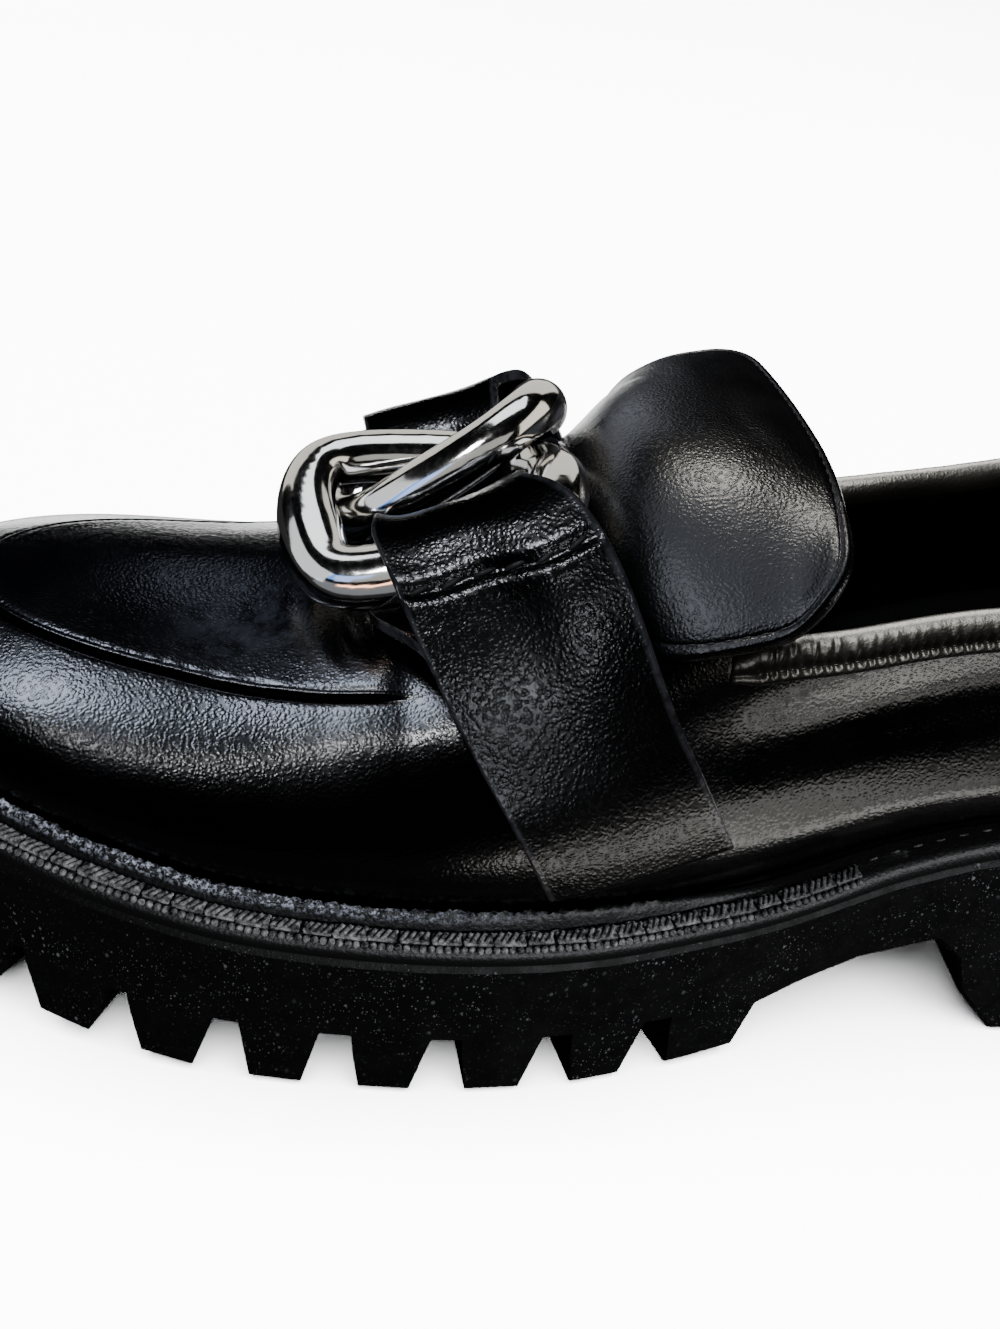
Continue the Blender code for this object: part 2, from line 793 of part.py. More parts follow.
def make_link(name, side, group, steel):
    """One heavy curb link: the bar in its strap lies flat, the far bar rises over its neighbour at one end."""
    curve = bpy.data.curves.new(name, "CURVE")
    curve.dimensions = "3D"
    curve.bevel_depth = LINK_WIRE * MM
    curve.bevel_resolution = 2
    spline = curve.splines.new("POLY")
    spline.points.add(LINK_POINTS - 1)
    spline.use_cyclic_u = True
    for point, (x, y, z, radius) in zip(spline.points, closed_curve(LINK, LINK_POINTS)):
        point.co = (*place(link_point(x, y, z, side)), 1.0)
        point.radius = radius / LINK_WIRE
    return add_object(name, curve, group, steel)


def main():
    for obj in list(bpy.data.objects):
        bpy.data.objects.remove(obj, do_unlink=True)
    parts = collection("chain_loafer")
    cutters = collection("cutters", in_render=False)
    rubber = material("black_rubber", (0.018, 0.018, 0.019), 0.72)
    welt_finish = material("welt_rubber", (0.022, 0.022, 0.024), 0.6)
    leather = material("black_leather", (0.014, 0.014, 0.017), 0.42)
    strap_leather = material("strap_leather", (0.016, 0.016, 0.018), 0.5)
    lining = material("footbed_lining", (0.42, 0.42, 0.43), 0.7)
    steel = material("polished_steel", (0.78, 0.78, 0.76), 0.08, 1.0)
    make_outsole(parts, cutters, rubber)
    make_welt(parts, welt_finish)
    make_upper(parts, cutters, leather)
    make_collar(parts, cutters, leather)
    make_insole(parts, lining)
    make_tongue(parts, leather)
    make_strap("strap_lateral", 1, parts, strap_leather)
    make_strap("strap_medial", -1, parts, strap_leather)
    make_link("chain_link_lateral", 1, parts, steel)
    make_link("chain_link_medial", -1, parts, steel)


main()
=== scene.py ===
"""Looks of the left chain loafer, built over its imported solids.

Lengths in the tables are millimetres of the shoe, with X counted forward from the back of the heel,
Y to the outer side and Z up; `metres` turns them into metres about the middle of the footprint.
"""

import math

import bpy
import numpy as np
from mathutils import Matrix, Vector
from mathutils.bvhtree import BVHTree
from mathutils.noise import noise as noise_at


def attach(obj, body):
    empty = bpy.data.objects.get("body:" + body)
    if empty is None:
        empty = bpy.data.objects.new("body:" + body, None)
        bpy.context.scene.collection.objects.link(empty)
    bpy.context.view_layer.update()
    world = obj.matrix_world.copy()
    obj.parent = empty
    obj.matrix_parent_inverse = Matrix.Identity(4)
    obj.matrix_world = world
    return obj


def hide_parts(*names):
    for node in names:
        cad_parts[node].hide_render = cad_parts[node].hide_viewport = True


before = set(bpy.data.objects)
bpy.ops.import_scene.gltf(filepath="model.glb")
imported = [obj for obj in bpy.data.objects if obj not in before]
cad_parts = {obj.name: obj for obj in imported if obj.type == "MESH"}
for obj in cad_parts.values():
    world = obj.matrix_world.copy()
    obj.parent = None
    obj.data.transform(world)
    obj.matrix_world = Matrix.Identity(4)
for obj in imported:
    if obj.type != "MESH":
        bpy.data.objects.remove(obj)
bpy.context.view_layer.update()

MM = 0.001
GAP = 0.3  # clearance between pieces that touch
LENGTH = 270.0
HEEL_ROUND = 40.0  # length of the heel's rounded end
TOE_ROUND = 70.0
HEEL_POWER = 2.3  # how square the rounded ends are: 2 is an ellipse
TOE_POWER = 2.2
LIP = 1.6  # how far the sole's lip lies under the welt
WELT_THICK = 3.9
FEATHER_FRONT = 6.8  # inset of the upper's foot from the welt's edge
FEATHER_HEEL = 5.2
WALL = 2.0
SEAM_END = 184.0  # the apron's raised seam ends here, under the straps
COLLAR_DEPTH = 3.6
THROAT = 139.0  # front edge of the foot opening
OUTER_TILT = 2.0  # the opening's edge stands higher outside than inside
INNER_TILT = -4.0
INSOLE_THICK = 3.0
INSOLE_ROOM = 2.0
TONGUE_THICK = 2.4
TONGUE_BACK = 126.5
TONGUE_SWEEP = 7.0  # the front edge runs back toward the sides, clear of the straps
TONGUE_LIFT = 0.8  # underside of the tongue above the vamp
STRAP_THICK = 1.8
STRAP_AT = 180.2  # middle of the fold, in the middle of the link's hole
STRAP_HALF = 14.0  # half width over the bar
STRAP_IN_LINK = 11.7  # half width where it passes through the link
STRAP_SHIFT = 1.9  # and how far its middle moves to the toe there
STRAP_TAPER = 0.6  # how much the half width loses by the foot
STRAP_SLANT = 30.4  # how far the strap's foot lies behind its fold
STRAP_TURN = 13.0  # from the bar down to the cross stitching
NARROW_FROM = math.radians(72)  # where round the bar the strap narrows to go into the link
NARROW_BY = math.radians(115)
STRAP_EASE = 1.25  # room for the bar in the strap's fold
FOLD_STRETCH = 0.19  # the fold reaches further round the bar at the strap's edges, where the link turns,
FOLD_FLARE = 0.44  # and further still outside the link
FOLD_RISE = 0.09  # and a little higher over it
STRAP_WAIST = 1.4  # the front edge is hollowed this much
STRAP_LIFT = 1.8  # middle of the leather above the upper
STRAP_SHORT = 4.8  # the strap's end stops this far above the welt at its front corner
STRAP_SHORT_BACK = 2.6  # and twice this much higher at its back corner
CHAIN_AT = 178.2
CHAIN_HALF_PITCH = 8.5
CHAIN_ROLL = 4.0  # degrees, outer side up
CHAIN_PITCH = 3.6  # degrees, toe side up from the ridge's own slope
LINK_WIRE = 4.6
# distance from heel, middle of the sole, half width
OUTLINE = [
    (0, 0, 36.5), (54, 0, 37), (81, 1.2, 35.8), (108, 3.2, 35.2), (135, 5.2, 39.7),
    (157, 5.2, 44.8), (178, 3.4, 48.1), (200, 1, 49), (235, -2.4, 48.4), (270, -4, 48.5),
]  # fmt: skip
# distance from heel, height of the welt's edge
WELT_LINE = [
    (0, 48), (54, 46.2), (81, 43.6), (95, 41), (109, 37), (122, 33.2), (135, 31.2),
    (157, 30.2), (178, 30), (200, 30.3), (221, 32.5), (243, 36), (259, 38.6), (270, 40.4),
]  # fmt: skip
# distance from heel, sideways place and height of the upper's highest line
RIDGE = [
    (26, 0, 122), (60, 0, 113), (90, 0, 101), (120, -2, 93), (140, -3.5, 86), (152, -4.5, 80.4),
    (162, -5, 74.6), (175, -5.5, 67), (190, -6, 60.6), (205, -6, 56.6), (228, -6, 55.2),
]  # fmt: skip
# distance from heel, place of the apron seam, 0 at the welt and 1 on the ridge
SEAM_PLACE = [(178, 0.566), (196, 0.585), (212, 0.612), (230, 0.635), (270, 0.645)]
# distance from heel, outer and inner rise of the side walls, outer and inner reach of the flat top
SIDES = [
    (100, 0.58, 0.58, 0.56, 0.56),
    (150, 0.58, 0.55, 0.56, 0.50),
    (180, 0.60, 0.50, 0.58, 0.42),
    (225, 0.62, 0.50, 0.60, 0.42),
    (270, 0.62, 0.62, 0.60, 0.60),
]
# distance from heel, height of the foot opening's edge
TOPLINE = [
    (-8, 102), (10, 101), (30, 95.5), (55, 86), (80, 79.5), (105, 75.5), (122, 72), (137, 69.5), (THROAT, 68),
]  # fmt: skip
# distance from heel, sideways place and height of the middle, drop at the outer and inner edge, half width
TONGUE = [
    (126, 0, 86.6, 1.5, 0.6, 34),
    (130, 0, 87.2, 6.5, 1.5, 35),
    (135, 0, 87.6, 12.5, 3, 35.4),
    (142, -0.2, 87.2, 15.6, 5, 35),
    (150, -0.8, 85.4, 17, 9, 33.6),
    (156, -1.6, 82.6, 15.8, 11.6, 30),
    (161, -3, 79.6, 14, 12, 26),
]
# one link: along the shoe, toward its strap, height, wire radius
LINK = [
    (0, 12.9, 5.5, 4.7), (9.6, 12.9, 5.5, 4.7), (16, 10.8, 7, 4.6), (18, 3, 10.4, 4.8),
    (17.8, -4, 13.5, 4.2), (15.2, -9.8, 14.6, 3.9), (9.6, -12.7, 13.2, 4), (0, -13.4, 10.1, 4.2),
    (-9, -12.7, 7.3, 4), (-14.6, -9.8, 6.2, 3.9), (-17.6, -4, 6.4, 4.2), (-18, 3, 6.9, 4.8),
    (-16, 10.8, 6.7, 4.6), (-9.6, 12.9, 5.9, 4.7),
]  # fmt: skip


def smooth(rows, at):
    """Each column after the first, on a smooth curve through the rows."""
    at = min(max(at, rows[0][0]), rows[-1][0])
    i = next(k for k in range(1, len(rows)) if at <= rows[k][0])
    left, right = rows[i - 1], rows[i]
    before, after = rows[max(i - 2, 0)], rows[min(i + 1, len(rows) - 1)]
    span = right[0] - left[0]
    u = (at - left[0]) / span
    values = []
    for column in range(1, len(left)):
        slope_in = (right[column] - before[column]) / (right[0] - before[0])
        slope_out = (after[column] - left[column]) / (after[0] - left[0])
        values.append(
            left[column] * (1 + 2 * u) * (1 - u) ** 2
            + right[column] * (3 - 2 * u) * u**2
            + span * u * (1 - u) * (slope_in * (1 - u) - slope_out * u)
        )
    return values


def lerp(a, b, u):
    return a + (b - a) * u


def share_of(value, start, end):
    """0 before start, 1 after end, and even between."""
    return min(max((value - start) / (end - start), 0.0), 1.0)


def rounding(x):
    """1 along the sole's middle, falling to 0 round its ends."""
    if x < HEEL_ROUND:
        reach, power = 1 - x / HEEL_ROUND, HEEL_POWER
    elif x > LENGTH - TOE_ROUND:
        reach, power = 1 - (LENGTH - x) / TOE_ROUND, TOE_POWER
    else:
        return 1.0
    return max(0.0, 1 - reach**power) ** (1 / power)


def edge(x, side):
    """Point of the welt's edge at x, on the outer side (1) or the inner side (-1)."""
    middle, half = smooth(OUTLINE, x)
    return Vector((x, middle + side * half * rounding(x)))


def inset_edge(x, side, inset):
    """The edge's point moved inward, square to the edge."""
    step = 0.05
    if x < step or x > LENGTH - step:
        inward = Vector((1.0 if x < step else -1.0, 0.0))
    else:
        along = edge(x + step, side) - edge(x - step, side)
        inward = Vector((along.y, -along.x)).normalized() * side
    return edge(x, side) + inward * inset


def stations(count):
    """Places along the shoe, closer together at its rounded ends."""
    return [LENGTH / 2 * (1 - math.cos(math.pi * i / count)) for i in range(count + 1)]


SIDEWAYS = [edge(x, side).y for x in stations(120) for side in (1, -1)]
MIDDLE_Y = (max(SIDEWAYS) + min(SIDEWAYS)) / 2


def feather_inset(x):
    blend = share_of(x, 70, 130)
    return lerp(FEATHER_HEEL, FEATHER_FRONT, blend * blend * (3 - 2 * blend))


def welt_base(x):
    return smooth(WELT_LINE, x)[0] - LIP


def welt_top(x):
    return smooth(WELT_LINE, x)[0] + WELT_THICK - LIP


def ridge_x(x):
    """The ridge's place for a section whose foot is at x: square across the waist, fanned round the ends."""
    if x > 185:
        return 185 + (x - 185) * (228 - 185) / (LENGTH - 185)
    if x < 45:
        return 45 - (45 - x) * (45 - 26) / 45
    return x


def rib(x, side, eased=True):
    """The four control points of one side's section, from the welt up to the ridge. Eased, the flat top leans
    with the ridge's own slope where the sections fan round the toe."""
    foot = inset_edge(x, side, feather_inset(x))
    out = (inset_edge(x, side, 0) - inset_edge(x, side, 1)).to_3d()
    low = Vector((*foot, welt_top(x) + GAP))
    at = ridge_x(x)
    high = Vector((at, *smooth(RIDGE, at)))
    toward_foot = Vector((low.x - high.x, low.y - high.y, 0.0))
    outer_rise, inner_rise, outer_top, inner_top = smooth(SIDES, x)
    rise = (outer_rise if side > 0 else inner_rise) * (high.z - low.z)
    a = low + out * lerp(2.5, 4.0, share_of(x, 90, 150)) + Vector((0, 0, rise))
    b = high + toward_foot * (outer_top if side > 0 else inner_top)
    if eased:
        slope = (smooth(RIDGE, at + 0.5)[1] - smooth(RIDGE, at - 0.5)[1]) / (min(at + 0.5, 228) - at + 0.5)
        b.z += slope * (b.x - high.x) * share_of(x, 185, 197)
    return low, a, b, high


def section(x, side, s):
    """Point of the upper's outer surface: s runs from 0 at the welt to 1 on the ridge."""
    low, a, b, high = rib(x, side, eased=False)
    t = 1 - s
    return low * t**3 + a * 3 * t * t * s + b * 3 * t * s * s + high * s**3


def girth_point(x, side, down, lift):
    """Point `down` millimetres from the ridge along the section at x, and `lift` above the surface."""
    steps = 48
    travelled = 0.0
    last = section(x, side, 1.0)
    for i in range(1, steps + 1):
        here = section(x, side, 1.0 - i / steps)
        length = (here - last).length
        if travelled + length >= down or i == steps:
            break
        travelled += length
        last = here
    way = (here - last).normalized()
    point = last + way * (down - travelled)
    normal = Vector((0.0, -way.z, way.y)) * side
    if normal.z < 0 and normal.y * side < 0:
        normal = -normal
    return point + normal.normalized() * lift


def girth(x, side):
    steps = 48
    points = [section(x, side, i / steps) for i in range(steps + 1)]
    return sum((points[i + 1] - points[i]).length for i in range(steps))


def strap_path(bar, bar_inside, end, edge_share):
    """The strap's middle in one upright plane, from foot to tucked end: distance from the ridge, height, and
    how far it is inside the link. The bar is given where the strap is wide and where the link narrows it."""
    radius = LINK_WIRE + STRAP_EASE + STRAP_THICK / 2
    double = STRAP_LIFT + STRAP_THICK + GAP + 0.1
    bar_down, bar_lift = bar
    stitch = bar_down + STRAP_TURN
    rows = [(lerp(end, stitch + 8, i / 7), STRAP_LIFT, 0.0) for i in range(8)]
    rows += [(stitch + 4, lerp(STRAP_LIFT, double, 0.5), 0.0), (stitch, double, 0.0)]
    reach = math.hypot(STRAP_TURN, bar_lift - double)
    lean = math.atan2(double - bar_lift, STRAP_TURN)
    start = lean + math.acos(radius / reach)
    for i in range(11):
        angle = lerp(start, math.radians(270), i / 10)
        away = radius * math.cos(angle)
        inside = share_of(angle, NARROW_FROM, NARROW_BY)
        middle, lift = lerp(bar_down, bar_inside[0], inside), lerp(bar_lift, bar_inside[1], inside)
        down = middle + away * (1 + (FOLD_STRETCH if away < 0 else FOLD_FLARE) * edge_share)
        rise = 1 + FOLD_RISE * edge_share * max(0.0, math.sin(angle))
        rows.append((down, lift + radius * math.sin(angle) * rise, inside))
    bar_down, bar_lift = bar_inside
    rows += [(lerp(bar_down + 2, stitch - 1.5, i / 3), bar_lift - radius, 1.0) for i in range(4)]
    return rows


def bar_place(x, side):
    """Where the link's bar runs through the strap: distance from the ridge, and height above the upper."""
    rows = [LINK[-2], LINK[-1], *LINK[:3]]
    local = x - CHAIN_AT
    for _ in range(4):
        y, z, _ = smooth(rows, side * local)
        bar = link_point(side * local, y, z, side)
        local += x - bar.x
    downs = [0.5 * i for i in range(80)]
    down = min(downs, key=lambda d: (girth_point(x, side, d, 0.0).yz - bar.yz).length)
    return down, (girth_point(x, side, down, 0.0).yz - bar.yz).length


def strap_sections(side):
    """Points of the strap's middle, in rows from its foot over the link's bar to the tucked end."""
    sections = []
    for w in (-1.0, -0.5, 0.0, 0.5, 1.0):
        bar = bar_place(STRAP_AT + w * STRAP_HALF, side)
        bar_inside = bar_place(STRAP_AT + STRAP_SHIFT + w * STRAP_IN_LINK, side)
        foot_x = STRAP_AT - STRAP_SLANT + w * (STRAP_HALF - STRAP_TAPER)
        end = girth(foot_x, side) - STRAP_SHORT - STRAP_SHORT_BACK * (1 - w)
        row = []
        for down, lift, inside in strap_path(bar, bar_inside, end, w * w):
            gone = max(0.0, down - bar[0]) / (end - bar[0])
            half = lerp(STRAP_HALF - STRAP_TAPER * gone, STRAP_IN_LINK, inside)
            hollow = STRAP_WAIST * max(w, 0.0) * 4 * gone * (1 - gone)
            shift = STRAP_SHIFT * inside * max(0.0, 1 - gone / 0.12)
            x = STRAP_AT + w * half + shift - hollow - STRAP_SLANT * gone
            row.append(girth_point(x, side, down, lift))
        sections.append(row)
    return sections


def chain_frame():
    """Origin on the ridge under the chain, x close along the ridge to the toe, z nearly square to it."""
    ahead = smooth(RIDGE, CHAIN_AT + 8)[1] - smooth(RIDGE, CHAIN_AT - 8)[1]
    slope = Matrix.Rotation(-math.atan2(ahead, 16.0) - math.radians(CHAIN_PITCH), 3, "Y")
    roll = Matrix.Rotation(math.radians(CHAIN_ROLL), 3, "X")
    return Vector((CHAIN_AT, *smooth(RIDGE, CHAIN_AT))), slope @ roll


def link_point(x, y, z, side):
    """A point of the link's table in the shoe: the inner link is the same link turned half round."""
    origin, turn = chain_frame()
    return origin + turn @ Vector((side * x, side * (y + CHAIN_HALF_PITCH), z))


# ---------------------------------------------------------------- the bench


def put_down():
    """Nothing selected and nothing in edit mode."""
    if bpy.context.object and bpy.context.object.mode != "OBJECT":
        bpy.ops.object.mode_set(mode="OBJECT")
    bpy.ops.object.select_all(action="DESELECT")


def take(*objs):
    put_down()
    for obj in objs:
        obj.select_set(True)
    bpy.context.view_layer.objects.active = objs[0]


def in_edit(obj, *steps):
    take(obj)
    bpy.ops.object.mode_set(mode="EDIT")
    bpy.ops.mesh.select_all(action="SELECT")
    for step in steps:
        step()
    bpy.ops.object.mode_set(mode="OBJECT")


def finish_with(obj, kind, **settings):
    """Adds a modifier and applies it."""
    take(obj)
    made = obj.modifiers.new(kind.lower(), kind)
    for key, value in settings.items():
        setattr(made, key, value)
    bpy.ops.object.modifier_apply(modifier=made.name)


def soften(obj, degrees):
    """Shades the piece smooth, but for edges sharper than this."""
    take(obj)
    bpy.ops.object.shade_smooth_by_angle(angle=math.radians(degrees))


def metres(points):
    """Millimetres of the shoe, as an array, into metres about the footprint's middle."""
    return (np.asarray(points, float) - (LENGTH / 2, MIDDLE_Y, 0.0)) * MM


def lay(name, table, masks=None, weld=0.03, outward=True):
    """A flat grid laid over the form: table holds the place of each of its points, row by row."""
    rows, columns = table.shape[:2]
    put_down()
    bpy.ops.mesh.primitive_grid_add(x_subdivisions=rows - 1, y_subdivisions=columns - 1, size=2)
    obj = bpy.context.object
    obj.name = obj.data.name = name
    flat = np.empty(len(obj.data.vertices) * 3)
    obj.data.vertices.foreach_get("co", flat)
    row, column = np.rint((flat.reshape(-1, 3)[:, :2] + 1) / 2 * (rows - 1, columns - 1)).astype(int).T
    obj.data.vertices.foreach_set("co", metres(table)[row, column].ravel())
    for key, values in (masks or {}).items():
        layer = obj.data.attributes.new(key, "FLOAT", "POINT")
        spread_out = np.broadcast_to(values, (rows, columns))
        layer.data.foreach_set("value", spread_out[row, column].astype(np.float32))
    in_edit(obj, lambda: bpy.ops.mesh.remove_doubles(threshold=weld * MM))
    if outward:
        in_edit(obj, lambda: bpy.ops.mesh.normals_make_consistent(inside=False))
    take(obj)
    bpy.ops.object.shade_smooth()
    return obj


def ready(obj, finishes, slot_name, *nodes):
    """Gives the piece its finish, lets it ride on the shoe, and lets it stand for its solids."""
    obj.data.materials.clear()
    for made in finishes if isinstance(finishes, list) else [finishes]:
        obj.data.materials.append(made)
    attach(obj, "root")
    if nodes:
        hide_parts(*nodes)
    return obj


def unit(vectors):
    lengths = np.linalg.norm(vectors, axis=-1, keepdims=True)
    return vectors / np.maximum(lengths, 1e-9)


def bump_up(value, start, end):
    """0 before start, 1 after end, and a soft rise between."""
    u = np.clip((np.asarray(value, float) - start) / (end - start), 0.0, 1.0)
    return u * u * (3 - 2 * u)


def bell(distance, width):
    return np.exp(-((np.asarray(distance) / width) ** 2))


def lengths_along(points):
    """How far along the line each of its points is."""
    return np.concatenate([[0.0], np.cumsum(np.linalg.norm(np.diff(points, axis=0), axis=1))])


def read_line(at, run, points):
    """Points at the given lengths along the line."""
    return np.stack([np.interp(at, run, points[:, k]) for k in range(3)], axis=1)


def even_line(points, pitch, closed=False):
    """The line through the points, divided at an even pitch, with its tangents."""
    points = np.asarray(points, float)
    if closed:
        points = np.vstack([points, points[:1]])
    run = lengths_along(points)
    count = max(2, int(round(run[-1] / pitch)))
    at = np.linspace(0, run[-1], count + 1)
    at = at[:-1] if closed else at
    ahead = read_line(np.minimum(at + 0.2, run[-1]), run, points)
    back = read_line(np.maximum(at - 0.2, 0), run, points)
    return read_line(at, run, points), unit(ahead - back)


def drop(*models):
    for model in models:
        bpy.data.objects.remove(model, do_unlink=True)


def set_along(model, name, finish, slot_name, places, tangents, ups, sizes=None):
    """Copies of a small modelled piece, one at each place, each with its own mesh, joined into one piece."""
    shape = np.empty(len(model.data.vertices) * 3)
    model.data.vertices.foreach_get("co", shape)
    shape = shape.reshape(-1, 3)
    copies = []
    sizes = np.ones(len(places)) if sizes is None else sizes
    for spot, along, up, size in zip(metres(places), tangents, ups, sizes):
        across = unit(np.cross(up, along))
        turn = np.stack([unit(along), across, unit(np.cross(along, across))])
        copy = model.copy()
        copy.data = model.data.copy()
        copy.data.vertices.foreach_set("co", (shape * size @ turn + spot).ravel())
        bpy.context.scene.collection.objects.link(copy)
        copies.append(copy)
    take(*copies)
    bpy.ops.object.join()
    joined = bpy.context.object
    joined.name = joined.data.name = name
    drop(model)
    return ready(joined, finish, slot_name)


# ---------------------------------------------------------------- small models


def scaled(*sizes):
    return lambda: bpy.ops.transform.resize(value=[size * MM for size in sizes], center_override=(0, 0, 0))


def turned(angle, axis):
    return lambda: bpy.ops.transform.rotate(value=angle, orient_axis=axis, center_override=(0, 0, 0))


def bevelled(offset):
    return lambda: bpy.ops.mesh.bevel(offset=offset * MM, segments=1, affect="EDGES")


def model_stitch(length, width, height):
    """One thread stitch: a round bead drawn out long, with its ends pulled down into the leather."""
    put_down()
    bpy.ops.mesh.primitive_uv_sphere_add(segments=8, ring_count=6, radius=0.5)
    obj = bpy.context.object
    in_edit(obj, turned(math.pi / 2, "Y"), scaled(length, width, height))
    for vert in obj.data.vertices:
        reach = abs(vert.co.x) / (length * MM / 2)
        vert.co.z -= 0.55 * height * MM * reach**3
    bpy.ops.object.shade_smooth()
    return obj


def model_bead(radius):
    put_down()
    bpy.ops.mesh.primitive_uv_sphere_add(segments=8, ring_count=5, radius=radius * MM)
    bpy.ops.object.shade_smooth()
    return bpy.context.object


def model_knurl(length, width):
    """One cell of the welt's wheeled edge: a low pad with oblique ribs across it."""
    ribs = 4
    parts = []
    for k in range(-1, ribs):
        put_down()
        bpy.ops.mesh.primitive_cube_add(size=1)
        parts.append(bpy.context.object)
        if k < 0:
            in_edit(parts[0], scaled(length, width, 0.5), bevelled(0.16))
            continue
        away = (k - 1.5) * length / 4.2 * MM
        in_edit(
            parts[-1],
            scaled(0.62, width * 1.02, 0.5),
            bevelled(0.2),
            turned(math.radians(32), "Z"),
            lambda: bpy.ops.transform.translate(value=(away, 0, 0.3 * MM)),
        )
    take(*parts)
    bpy.ops.object.join()
    bpy.ops.object.shade_flat()
    return bpy.context.object


# ---------------------------------------------------------------- the upper

FINE = np.linspace(0.0, 1.0, 241)


def along_rib(points, s):
    s = np.asarray(s, float)[..., None]
    t = 1 - s
    low, a, b, high = np.array(points)
    return low * t**3 + a * 3 * t * t * s + b * 3 * t * s * s + high * s**3


def topline(x, y, drop_down):
    """Height of the foot opening's edge over a point."""
    tilt = lerp(INNER_TILT * 2, OUTER_TILT * 2, (y + 75) / 150)
    return smooth(TOPLINE, x)[0] + tilt - drop_down


def opening_length(x, line, run, drop_down):
    """How far up the section the foot opening's edge is."""
    over = [z - topline(x, y, drop_down) for _, y, z in line]
    for i in range(1, len(over)):
        if over[i] >= 0 > over[i - 1]:
            return lerp(run[i - 1], run[i], -over[i - 1] / (over[i] - over[i - 1]))
    return run[-1]


def vamp_height(x, ys):
    """Heights of the upper's surface over the given sideways places."""
    heights = np.empty(len(ys))
    middle = smooth(RIDGE, ridge_x(x))[0]
    for side in (1, -1):
        line = along_rib(rib(x, side), FINE)[::-1]
        mine = (ys >= middle) == (side > 0)
        heights[mine] = np.interp(ys[mine] * side, line[:, 1] * side, line[:, 2])
    return heights


UPPER_STATIONS = 340
HALF_ROWS = 68
CLOSED_FROM = THROAT + 11  # ahead of this the two halves meet on the ridge
# distance from the apron seam toward the ridge at which the leather is divided
SEAM_ROWS = [
    -5, -3.9, -3, -2.3, -1.7, -1.25, -0.95, -0.7, -0.5, -0.3, -0.1, 0.1, 0.3, 0.5, 0.7, 0.9,
    1.1, 1.35, 1.7, 2.2, 2.9, 3.8, 5,
]  # fmt: skip
# distance from the apron seam toward the ridge, height of the leather
SEAM_RELIEF = [
    (-5, 0), (-3, 0.03), (-1.7, 0.06), (-1, 0.02), (-0.55, -0.25), (-0.25, -0.42), (0, 0.12),
    (0.35, 0.62), (0.7, 0.66), (0.95, 0.52), (1.15, 0.46), (1.5, 0.56), (2.4, 0.56), (3.8, 0.52), (5, 0.5),
]  # fmt: skip
PUCKER_PITCH = 1.15
# side, height of the middle (below zero is a crease), half width, places along the shoe and up the section
CREASES = [
    (1, 1.1, 4.6, (20, 0.06), (60, 0.06), (95, 0.065), (112, 0.07), (126, 0.07), (138, 0.065), (150, 0.06)),
    (1, -2.9, 7.2, (44, 0.285), (70, 0.275), (95, 0.265), (115, 0.27), (130, 0.28), (150, 0.295)),
    (-1, 1.1, 4.6, (20, 0.06), (60, 0.06), (95, 0.065), (112, 0.07), (126, 0.07), (138, 0.065), (150, 0.06)),
    (-1, -1.1, 5.5, (44, 0.26), (70, 0.25), (95, 0.24), (115, 0.245), (130, 0.255), (150, 0.27)),
    (1, 0.45, 4.5, (164, 0.43), (174, 0.45), (186, 0.47), (198, 0.49)),
    (1, -0.35, 1.3, (190, 0.66), (193, 0.72), (197, 0.80)),
    (1, -0.3, 1.1, (195, 0.66), (199, 0.74), (204, 0.82)),
    (1, -0.22, 1.2, (202, 0.70), (206, 0.78), (210, 0.88)),
    (1, 0.25, 1.4, (192, 0.67), (196, 0.74), (200, 0.82)),
    (-1, -0.8, 3.4, (172, 0.42), (184, 0.44), (198, 0.42)),
    (-1, -0.3, 1.3, (192, 0.66), (197, 0.74), (201, 0.84)),
    (1, -0.25, 1.6, (16, 0.30), (24, 0.36), (34, 0.38)),
]


def section_spread(x, points):
    """Where up the section the leather is divided, and how far those places are from the apron seam."""
    line = along_rib(points, FINE)
    run = lengths_along(line)
    seam = np.interp(smooth(SEAM_PLACE, x)[0], FINE, run)
    top = run[-1]
    if x < THROAT + 12:
        drop_down = lerp(COLLAR_DEPTH + GAP, -3.0, float(bump_up(x, THROAT - 14, THROAT - 2)))
        cut = opening_length(min(x, THROAT), line, run, drop_down)
        top = lerp(cut, run[-1], float(bump_up(x, THROAT - 3, THROAT + 7)))
    even = np.linspace(0, top, HALF_ROWS)
    count = HALF_ROWS - len(SEAM_ROWS)
    below = int(round(count * 0.56))
    packed = np.concatenate([
        np.linspace(0, seam + SEAM_ROWS[0], below, endpoint=False),
        seam + np.array(SEAM_ROWS),
        np.linspace(seam + SEAM_ROWS[-1], run[-1], count - below + 1)[1:],
    ])
    share = float(bump_up(x, 150, 174))
    at = even * (1 - share) + packed * share
    return np.interp(at, run, FINE), at - seam


def crease_depth(points, creases):
    """How far each point sinks into the listed creases (negative) or rises on the ridges (positive)."""
    flat = points.reshape(-1, 3)
    total = np.zeros(len(flat))
    for side, depth, width, *marks in creases:
        knots = np.array([along_rib(rib(x, side), s) for x, s in marks])
        fine = np.linspace(0, len(knots) - 1, 12 * (len(knots) - 1) + 1)
        line = read_line(fine, range(len(knots)), knots)
        box = np.abs(flat - line.mean(0)).max(1) < np.abs(line - line.mean(0)).max() + 4 * width
        gap = np.linalg.norm(flat[box][:, None, :] - line[None], axis=2)
        taper = np.sin(np.pi * np.clip(0.06 + 0.88 * fine[gap.argmin(1)] / fine[-1], 0, 1)) ** 0.7
        total[box] += depth * taper * bell(gap.min(1), width)
    return total.reshape(points.shape[:2])


